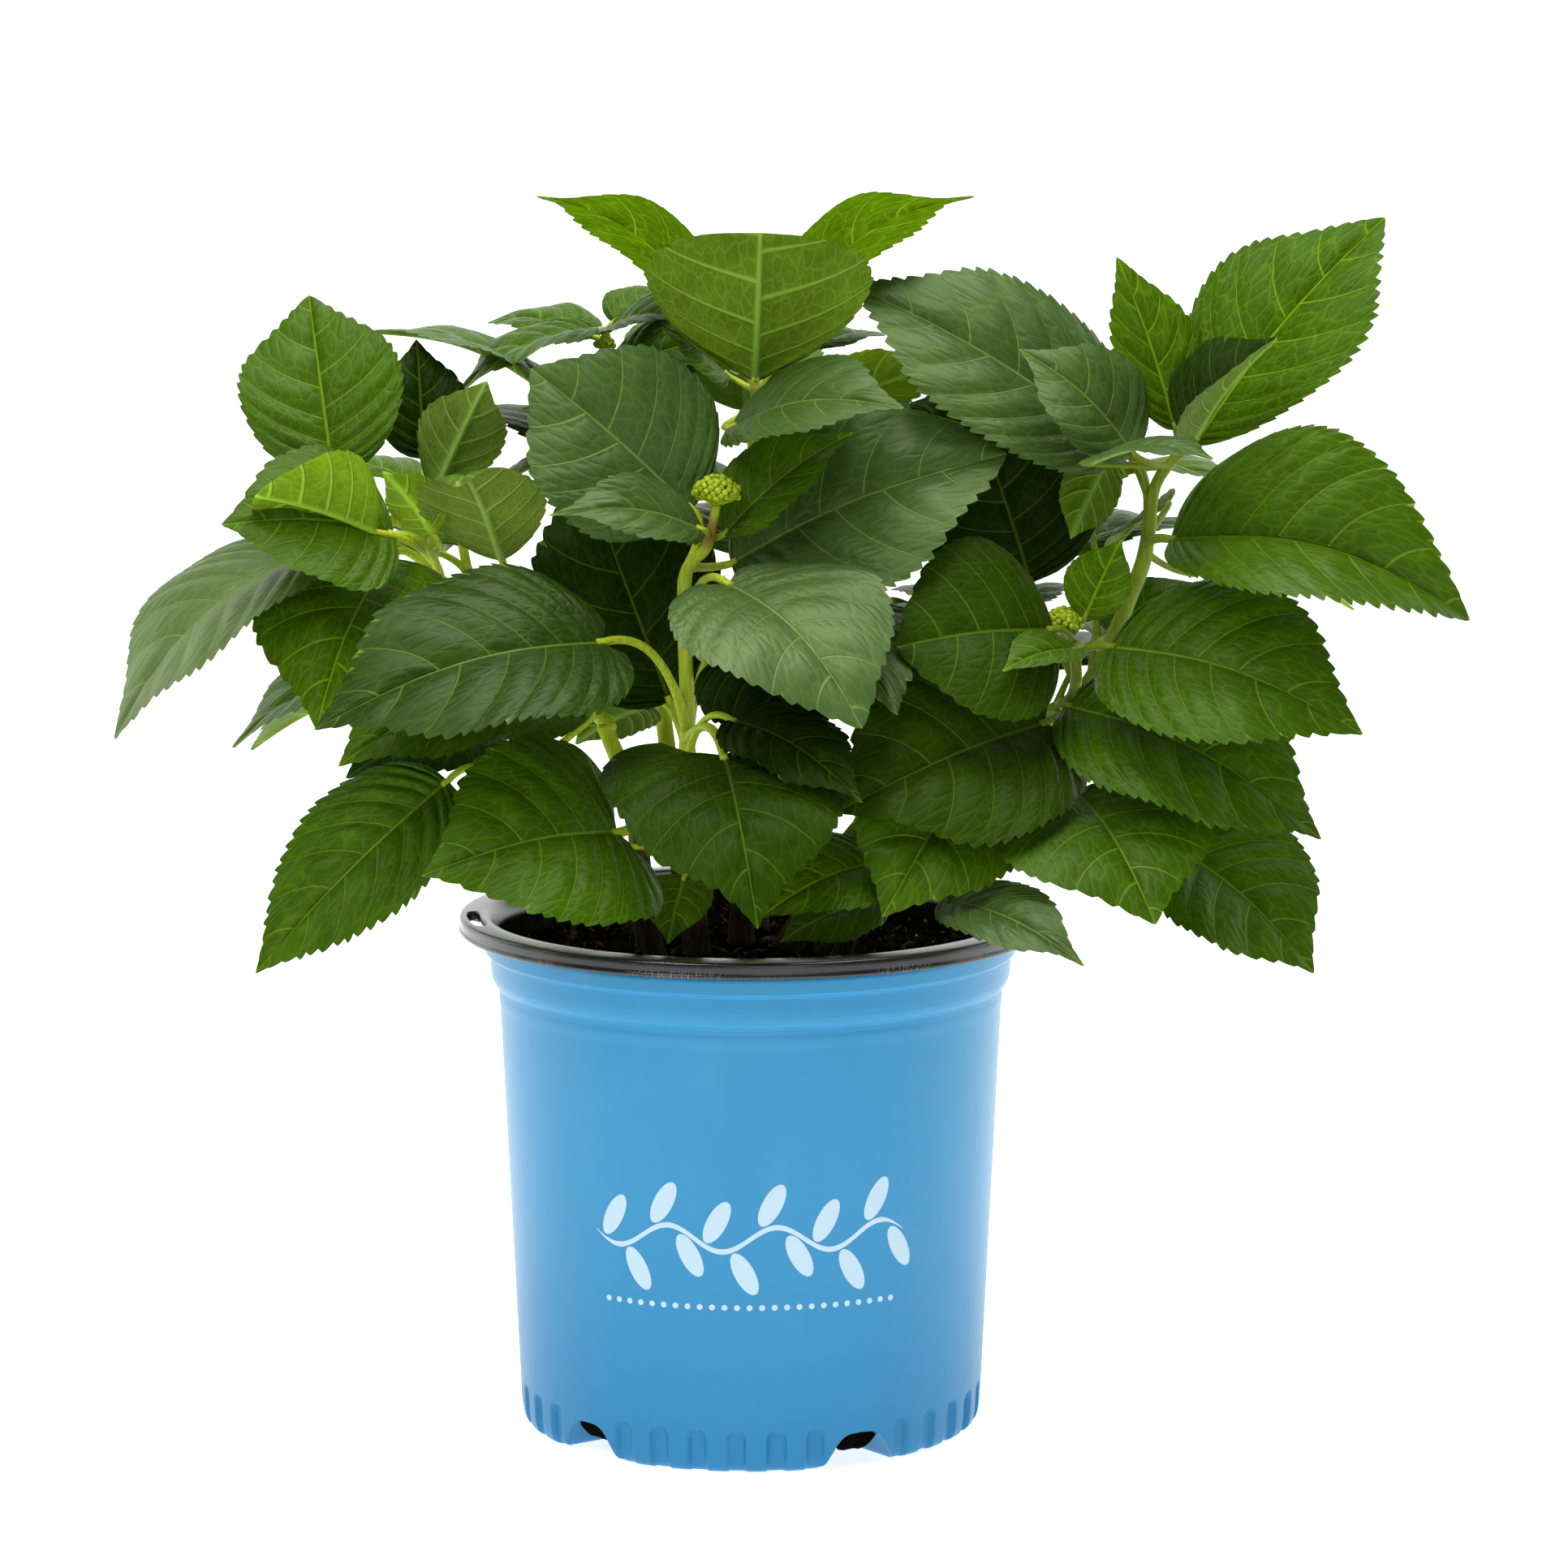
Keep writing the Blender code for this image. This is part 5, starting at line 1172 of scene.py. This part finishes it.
PLAIN_NOTCH = (0.05, 0.0)
SHEET = 0.8  # how thick a blade is
TOOTH_STEPS = np.array([0.0, 0.3, 0.56, 0.8])  # where a tooth's rings lie along it
TOOTH_RISE = (0.0, 0.5, 0.84, 1.0)  # and how far out each of them is


def eased(value, low, high):
    """0 below low, 1 above high, eased between."""
    share = np.clip((value - low) / (high - low), 0.0, 1.0)
    return share * share * (3.0 - 2.0 * share)


def ring_places(teeth, dice):
    """Shares of the way along a blade where its rings lie: four to a tooth, and one at the tip."""
    starts = np.append(0.0, np.cumsum(dice.uniform(0.75, 1.25, teeth)))[:, None]
    starts = starts / starts[-1]
    steps = starts[:-1] + np.diff(starts, axis=0) * TOOTH_STEPS
    return np.append(steps.ravel(), 1.0)[:, None]


def blade_half_widths(r, width, outline, dice):
    """Half the width at each ring: a smooth outline that is drawn in near its tip and a little wavy."""
    blunt, drawn, _, broader, _ = outline
    broad = blunt / (blunt + drawn)
    most = broad ** blunt * (1.0 - broad) ** drawn
    half = 0.5 * broader * width * r ** blunt * (1.0 - r) ** drawn / most
    half = half * (1.0 - 0.55 * eased(r, 0.64, 0.97) * min(1.0, drawn ** 2))
    return half * (1.0 + 0.03 * np.sin(9.0 * r + dice.uniform(0, 6)))


def tooth_sizes(r, half, length, teeth, dice):
    """How far the teeth stand out, each a little different, and none at the foot and the tip."""
    size = 0.0165 * length * eased(r, 0.05, 0.16) * (1.0 - eased(r, 0.92, 0.99))
    size = size * np.minimum(1.0, half / 13.0)
    return size * np.append(np.repeat(dice.uniform(0.7, 1.2, teeth), 4), 1.0)[:, None]


def swelling(r, aside, sideways, count, length, relief, dice):
    """How far the blade swells between its side veins, where fine rungs run across."""
    swell = abs(np.sin(math.pi * count)) ** 0.8 * (1.0 - np.exp(-((aside / 0.13) ** 2)))
    swell = swell * (1.0 - aside ** 5)
    lift = dice.uniform(0.010, 0.018) * relief * length * swell
    lift = lift * eased(r, 0.02, 0.12) * (1.0 - eased(r, 0.85, 1.0))
    rungs = np.sin(2.0 * math.pi * abs(sideways) / (0.075 * length + 2.0) + 2.4 * np.floor(count))
    return lift * (0.90 + 0.15 * rungs)


def edge_wave(r, length, dice):
    """A slow wave of the edges, with its own height, length and start."""
    high = dice.uniform(0.008, 0.018) * length
    return high * np.sin(2.0 * math.pi * (dice.uniform(1.6, 2.6) * r + dice.uniform()))


def faces_depth(r, aside, sideways, width, under):
    """How far each face lies below the blade's bow: a groove above the middle rib, and under it a
    ridge and the thickness of the blade."""
    groove = 0.45 * np.exp(-((sideways / 1.3) ** 2)) * (1.0 - 0.6 * r)
    ridge = (1.25 * (1.0 - r) ** 0.8 + 0.2) * min(1.0, width / 60.0)
    ridge = ridge * np.exp(-((sideways / 1.5) ** 2))
    return np.where(under, -SHEET * (1.0 - aside ** 8) - ridge, -groove)


def with_ends(rows, *ends):
    """The values of the rings' points, followed by those of the two ends."""
    return np.concatenate([rows.reshape(-1, 3), ends])


def leaf_blade(foot, tip, width, spread, arch, fold, heart, notch, outline, relief, seed):
    """One blade, as rings of points that run over its upper face and back under it.

    Each ring runs the way a side vein does. It leaves the middle rib at r - sweep * sin(pi * r), a
    share of the length, and reaches the edge at r, or further back near the foot of a heart-shaped
    leaf. Teeth move the edge out and forward. The blade is bowed by arch, its halves are raised by
    fold, and it swells between veins by a sine of the vein count. Given back are the points, the
    faces of the rings and of the two ends, what the veins are drawn from, and which faces of the
    rings and of the ends are the underside.
    """
    dice = np.random.default_rng(seed)
    axis, normal, across = (np.array(v) for v in blade_frame(foot, tip, spread))
    foot, length = np.array(foot), (tip - foot).length
    _, _, curl, _, sweep = outline
    teeth = int(np.clip(round(length / 5.2), 10, 26))
    r = ring_places(teeth, dice)
    t = np.concatenate([COLUMNS, COLUMNS[-2:0:-1]])[None, :]
    under = (np.arange(t.size) >= len(COLUMNS))[None, :]
    aside = abs(t)
    at_edge = aside > 0.999

    half = blade_half_widths(r, width, outline, dice)
    bite = tooth_sizes(r, half, length, teeth, dice)
    tooth = np.append(np.tile(TOOTH_RISE, teeth), 0.0)[:, None]
    edge = r - 1.8 * heart * np.sqrt(r) * (1.0 - r) ** 4
    rib = np.maximum(r - sweep * np.sin(math.pi * r), 0.05 * r) + notch * (1.0 - r) ** 2
    outward = 0.5 * aside + 0.5 * aside ** 2.6
    lengthwise = length * (rib + (edge - rib) * outward) + at_edge * 0.55 * bite * tooth
    sideways = half * t + np.sign(t) * at_edge * bite * (tooth - 0.45)

    veins = np.clip(round(6.4 + length / 34.0), 7, 11)
    count = veins * r ** 0.88 + np.where(t < 0.0, 0.38, 0.0)
    lift = swelling(r, aside, sideways, count, length, relief, dice)
    lift = lift + 0.20 * half * (aside - aside * aside) + fold * half * aside
    wave = edge_wave(r, length, dice) * aside ** 2 * np.sign(t)
    lift = lift + wave * eased(r, 0.0, 0.2) * (1.0 - eased(r, 0.8, 1.0))
    lift = lift + 0.30 * at_edge * bite * (0.5 - tooth)
    lift = lift + faces_depth(r, aside, sideways, width, under)
    bow = arch * length * np.sin(math.pi * np.clip(lengthwise / length, 0.0, 1.0))
    bow = bow - curl * length * eased(lengthwise / length, 0.72, 1.1) ** 2

    sidelong = sideways * math.sqrt(1.0 - fold * fold)
    points = foot + lengthwise[..., None] * axis + sidelong[..., None] * across
    points = (points + (bow + lift)[..., None] * normal)[1:-1]
    rings, sides = points.shape[:2]
    gap = length * 0.85 * r ** 0.12 / (0.88 * veins)
    own = dice.uniform()
    marks = np.stack(np.broadcast_arrays(count, sideways, lengthwise), axis=-1)[1:-1]
    traits = np.stack(np.broadcast_arrays(gap, own, aside), axis=-1)[1:-1]
    end = foot + length * axis - 0.5 * curl * length * normal
    points = with_ends(points, foot + notch * length * axis, end)
    marks = with_ends(marks, (0.0, 0.0, notch * length), (veins, 0.0, length))
    traits = with_ends(traits, (gap[1, 0], own, 0.0), (gap[-2, 0], own, 0.0))
    total = rings * sides
    quads = grid_faces(rings, sides)
    caps = [cap_faces(total, 0, sides, False), cap_faces(total + 1, total - sides, sides, True)]
    lower = np.arange(sides) >= len(COLUMNS) - 1
    return (points, quads, np.concatenate(caps), marks, traits,
            np.tile(lower, rings - 1), np.tile(lower, 2))


def vein_group():
    """The pattern of a hydrangea leaf, drawn from two things that its points carry.

    marks holds the vein count and the way across and along in millimetres; traits holds the gap
    between side veins, a number of the leaf's own and how far out a point is. Veins is 1 on the
    veins as the upper face shows them, Ribs on the wider ones below, Net on the fine mesh between.
    """
    group = bpy.data.node_groups.new("leaf_veins", "ShaderNodeTree")
    for name in ("Veins", "Ribs", "Net", "Swell", "Patches", "Leaf"):
        group.interface.new_socket(name, in_out="OUTPUT", socket_type="NodeSocketFloat")
    out = group.nodes.new("NodeGroupOutput")
    marks = put(group, "Attribute", attribute_name="marks").outputs["Vector"]
    marks = put(group, "SeparateXYZ", {0: marks}).outputs
    traits = put(group, "Attribute", attribute_name="traits").outputs["Vector"]
    traits = put(group, "SeparateXYZ", {0: traits}).outputs
    off = sums(group, "FRACT", sums(group, "ADD", marks[0], 0.5))
    off = sums(group, "ABSOLUTE", sums(group, "SUBTRACT", off, 0.5))
    off = sums(group, "MULTIPLY", off, traits[0])
    thin = sums(group, "MULTIPLY_ADD", traits[2], -0.14, 0.34)
    off = sums(group, "DIVIDE", off, thin)
    side = sums(group, "SUBTRACT", 1.0, ramped(group, off, 0.35, 1.25))
    side = sums(group, "MULTIPLY", side, ramped(group, traits[2], 0.86, 1.0, 0.80, 0.25))
    wide = sums(group, "MULTIPLY_ADD", marks[2], -0.006, 1.0)
    wide = sums(group, "MAXIMUM", wide, 0.36)
    middle = sums(group, "DIVIDE", sums(group, "ABSOLUTE", marks[1]), wide)
    ribs = sums(group, "MINIMUM", off, sums(group, "MULTIPLY", middle, 0.8))
    group.links.new(ramped(group, ribs, 0.5, 2.4, 1.0, 0.0), out.inputs["Ribs"])
    middle = sums(group, "SUBTRACT", 1.0, ramped(group, middle, 0.45, 1.15))
    group.links.new(sums(group, "MAXIMUM", side, middle), out.inputs["Veins"])
    leaf = sums(group, "MULTIPLY", traits[1], 40.0)
    nets = []
    for per_vein, wide_each in ((1.9, 4.4), (5.5, 1.7)):
        lengthwise = sums(group, "MULTIPLY", marks[0], per_vein)
        across = sums(group, "DIVIDE", marks[1], wide_each)
        place = put(group, "CombineXYZ", {0: lengthwise, 1: across, 2: leaf}).outputs[0]
        cells = {"Vector": place, "Scale": 1.0, "Randomness": 0.8}
        cells = put(group, "TexVoronoi", cells, feature="DISTANCE_TO_EDGE")
        nets.append(cells.outputs["Distance"])
    rungs = ramped(group, nets[0], 0.0, 0.10, 1.0, 0.0)
    mesh = ramped(group, nets[1], 0.0, 0.16, 0.45, 0.0)
    group.links.new(sums(group, "MAXIMUM", rungs, mesh), out.inputs["Net"])
    group.links.new(ramped(group, nets[0], -0.12, 0.36), out.inputs["Swell"])
    place = own_place(group)
    group.links.new(noise(group, place, 70.0, 4.0, 0.6), out.inputs["Patches"])
    group.links.new(traits[1], out.inputs["Leaf"])
    return group


leaf_veins = vein_group()


def leaf_finish(name, green, vein, gloss, net, upper):
    """A leaf face: its green mottled and varied from leaf to leaf, paler veins, and a satin gloss."""
    darker = (*[0.80 * c for c in green], 1.0)
    lighter = (*[1.22 * c for c in green], 1.0)
    yellower = (1.35 * green[0], 1.12 * green[1], 0.85 * green[2], 1.0)
    finish, tree, shader = new_finish(
        name, green, 0.42 if upper else 0.62, Specular_IOR_Level=gloss,
        Specular_Tint=(0.78, 1.0, 0.48, 1.0),
    )
    pattern = put(tree, "Group", node_tree=leaf_veins).outputs
    colour = blended(tree, ramped(tree, pattern["Patches"], 0.3, 0.75), darker, lighter)
    colour = blended(tree, sums(tree, "MULTIPLY", pattern["Leaf"], 0.45), colour, yellower)
    colour = blended(tree, sums(tree, "MULTIPLY", pattern["Net"], net), colour, (*vein, 1.0))
    lines = pattern["Veins" if upper else "Ribs"]
    colour = blended(tree, sums(tree, "MULTIPLY", lines, 0.85), colour, (*vein, 1.0))
    tree.links.new(colour, shader.inputs["Base Color"])
    height = sums(tree, "MULTIPLY", lines, -0.8 if upper else 2.2)
    height = sums(tree, "MULTIPLY_ADD", pattern["Swell"], 0.55 if upper else -0.5, height)
    bumped(tree, shader, height, 0.75, 0.0005)
    rough = sums(tree, "MULTIPLY_ADD", pattern["Patches"], 0.16, 0.28 + 0.17 * gloss if upper else 0.5)
    tree.links.new(rough, shader.inputs["Roughness"])
    return finish


finishes = []
for green, (upper, underside, vein, gloss, _) in GREENS.items():
    pale = [1.9 * c + more for c, more in zip(underside, (0.05, 0.07, 0.03))]
    net = 0.12 + 1.5 * upper[1] - 0.12 * gloss
    finishes.append(leaf_finish("leaf_%s_upper" % green, upper, vein, gloss, net, True))
    finishes.append(leaf_finish("leaf_%s_underside" % green, underside, pale, 0.12, 0.30, False))
tones = list(GREENS)

for name in SHOOTS:
    parts, marks, traits, finish_of, spots = [], [], [], [[], []], [[], []]
    cells = math.ceil(math.sqrt(2 * len(leaves[name])))  # each face of each leaf has a cell of the sheet
    for order, (leaf_name, _, foot, tip, width, spread, arch, fold, green) in enumerate(leaves[name]):
        seed = sum(ord(c) * (k + 3) for k, c in enumerate(name + leaf_name))
        heart, notch = NOTCHES.get(leaf_name, PLAIN_NOTCH)
        points, quads, caps, mark, trait, low_quads, low_caps = leaf_blade(
            foot, tip, width, spread, arch, fold, heart, notch,
            BLADES.get(leaf_name, PLAIN_BLADE), GREENS[green][4], seed,
        )
        parts.append((points, [quads, caps]))
        marks.append(mark)
        traits.append(trait)
        flat = mark[:, 1:]
        low, size = flat.min(axis=0), 1.06 * (flat.max(axis=0) - flat.min(axis=0)).max()
        flat = (flat - low) / size + 0.03
        for kind, (faces, lower) in enumerate(((quads, low_quads), (caps, low_caps))):
            cell = 2 * order + lower[:, None].astype(int)
            corner = np.stack([cell % cells, cell // cells], axis=-1)
            spots[kind].append((corner + flat[faces]) / cells)
            finish_of[kind].append(2 * tones.index(green) + lower)
    points, faces = joined(parts)
    finish_of = np.concatenate(finish_of[0] + finish_of[1])
    piece = add_piece(name + "_leaves", points, faces, finishes, finish_of, sharp=75)
    sheet = np.concatenate([np.concatenate(kind).reshape(-1, 2) for kind in spots])
    layer = piece.data.uv_layers.new(name="OFBake")
    layer.data.foreach_set("uv", sheet.astype(np.float32).ravel())
    for label, values in (("marks", marks), ("traits", traits)):
        layer = piece.data.attributes.new(label, "FLOAT_VECTOR", "POINT")
        layer.data.foreach_set("vector", np.concatenate(values).astype(np.float32).ravel())
    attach(piece, "root")
    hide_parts(name)

# ---------------------------------------------------------------- flower buds
# Each closed flower head is a low dome of small round buds, spread evenly by the golden turn, on
# short green stalks that branch from the shoot's tip.
GOLDEN_TURN = 2.39996
BUD_ACROSS = (0.3, 1.0, 0.2)
BUDS = (  # shoot, middle as seen, radius, number of small buds, their radius
    ("shoot_front", (-14, 379, 34), 10.2, 84, 1.42),
    ("shoot_side", (128, 326, 30), 8.8, 66, 1.36),
    ("shoot_back_left", (-60, 440, -66), 5.0, 26, 1.25),
)
bud_green = mottled_finish(
    "bud_green", (0.32, 0.42, 0.01), 0.40, (420.0, 2.0), (0.3, 0.7),
    (0.24, 0.34, 0.006), (0.46, 0.56, 0.020), (0.4, 0.0004), Specular_IOR_Level=0.25,
)


def round_bud(middle, radius, way):
    """A small round bud, in six rings from its foot to its crown."""
    polar = np.linspace(0.35, math.pi - 0.35, 6)
    way = way / np.linalg.norm(way)
    path = middle + np.outer(-np.cos(polar), way) * radius
    radii = radius * np.sin(polar) * (1.0 + 0.05 * np.cos(polar * 3.0))
    return sleeve(path, radii, 9, across=BUD_ACROSS)


for name, middle, radius, count, small in BUDS:
    dice = np.random.default_rng(count)
    middle = np.array(seen(*middle))
    order = np.arange(count) + 0.5
    up = 1.0 - 1.35 * order / count
    turn = order * GOLDEN_TURN
    level = np.sqrt(1.0 - up * up)
    ways = np.stack([level * np.cos(turn), level * np.sin(turn), up], axis=-1)
    places = ways * (radius - small) * np.array([1.0, 1.0, 0.72])
    places = middle + places * dice.uniform(0.80, 1.06, (count, 1))
    parts = [round_bud(place, small * dice.uniform(0.85, 1.12), way) for place, way in zip(places, ways)]
    points, faces = joined(parts)
    piece = add_piece(name + "_bud", points, faces, [bud_green])
    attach(piece, "root")
    base = np.array(shoot_paths[name][-1])
    stalks = []
    for place, way in list(zip(places, ways))[::3]:
        bend = base + (place - base) * 0.5 + np.array([way[0], way[1], 0.0]) * 1.2
        steps = np.linspace(0.0, 1.0, 6)[:, None]
        line = base * (1 - steps) ** 2 + bend * 2 * steps * (1 - steps) + place * steps ** 2
        stalks.append(sleeve(line, np.linspace(0.75, 0.4, 6), 6, across=BUD_ACROSS))
    points, faces = joined(stalks)
    piece = add_piece(name + "_bud_stalks", points, faces, [stem_green])
    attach(piece, "root")

# ---------------------------------------------------------------- floor, light and camera
# A plain pale sweep of card under and behind the pot, lit by large soft lamps from above and from
# both sides, with the camera a little above the leaves, looking slightly down.
curve = np.linspace(0.1, 1.5708, 14)
sweep_y = np.concatenate([[-6.0, 0.0, 3.0], 3.0 + 1.5 * np.sin(curve), [4.5]]) * 1000.0
sweep_z = np.concatenate([[0.0, 0.0, 0.0], 1.5 - 1.5 * np.cos(curve), [6.0]]) * 1000.0 - 0.4
edges = [np.stack([np.full_like(sweep_y, x), sweep_y, sweep_z], axis=-1) for x in (6000.0, -6000.0)]
sweep = np.stack(edges, axis=1)
card, tree, shader = new_finish("pale_card", (0.86, 0.86, 0.86), 0.9, Specular_IOR_Level=0.1)
fleck = noise(tree, own_place(tree), 3.0, 2.0)
colour = blended(tree, fleck, (0.85, 0.85, 0.85, 1.0), (0.87, 0.87, 0.87, 1.0))
tree.links.new(colour, shader.inputs["Base Color"])
shader.inputs["Emission Color"].default_value = (1.0, 1.0, 1.0, 1.0)
shader.inputs["Emission Strength"].default_value = 0.80
floor = add_piece("sweep", sweep.reshape(-1, 3), [grid_faces(len(sweep_y), 2, ring=False)], [card])
floor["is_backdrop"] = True


def add_lamp(name, place, size, power, aim=(0.0, 0.0, 0.28)):
    """A soft lamp of a given width and height, turned to face a point."""
    lamp = bpy.data.lights.new(name, "AREA")
    lamp.shape = "RECTANGLE"
    lamp.size, lamp.size_y = size
    lamp.energy = power
    holder = bpy.data.objects.new(name, lamp)
    holder.location = place
    holder.rotation_euler = (Vector(aim) - Vector(place)).to_track_quat("-Z", "Y").to_euler()
    bpy.context.scene.collection.objects.link(holder)


add_lamp("overhead", (0.1, -0.1, 1.9), (1.5, 1.2), 34.0)
add_lamp("key", (-1.0, -1.4, 1.9), (0.9, 0.9), 16.0)
add_lamp("front", (0.5, -2.6, 0.8), (1.4, 1.0), 6.0, aim=(0.0, 0.0, 0.2))
add_lamp("side_left", (-1.5, 0.5, 0.5), (1.5, 1.4), 8.0)
add_lamp("side_right", (1.5, 0.5, 0.5), (1.5, 1.4), 9.8)

world = bpy.data.worlds.new("studio")
world.use_nodes = True
world.node_tree.nodes["Background"].inputs["Color"].default_value = (1.0, 1.0, 1.0, 1.0)
world.node_tree.nodes["Background"].inputs["Strength"].default_value = 0.12
bpy.context.scene.world = world
bpy.context.scene.view_settings.view_transform = "Standard"

FOCAL, PICTURE_WIDTH = 6915.0, 1932.0
CAMERA_FAR = 2.3
camera = bpy.data.cameras.new("camera")
camera.sensor_fit = "HORIZONTAL"
camera.sensor_width = 36.0
camera.lens = camera.sensor_width * FOCAL / PICTURE_WIDTH
camera.clip_end = 50.0
viewer = bpy.data.objects.new("camera", camera)
aim = Vector((0.0137, 0.0, 0.265))
back, up = math.cos(VIEW_PITCH), math.sin(VIEW_PITCH)
viewer.location = aim + Vector((0.0, -CAMERA_FAR * back, CAMERA_FAR * up))
viewer.rotation_euler = (aim - viewer.location).to_track_quat("-Z", "Y").to_euler()
bpy.context.scene.collection.objects.link(viewer)
bpy.context.scene.camera = viewer

low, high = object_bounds()
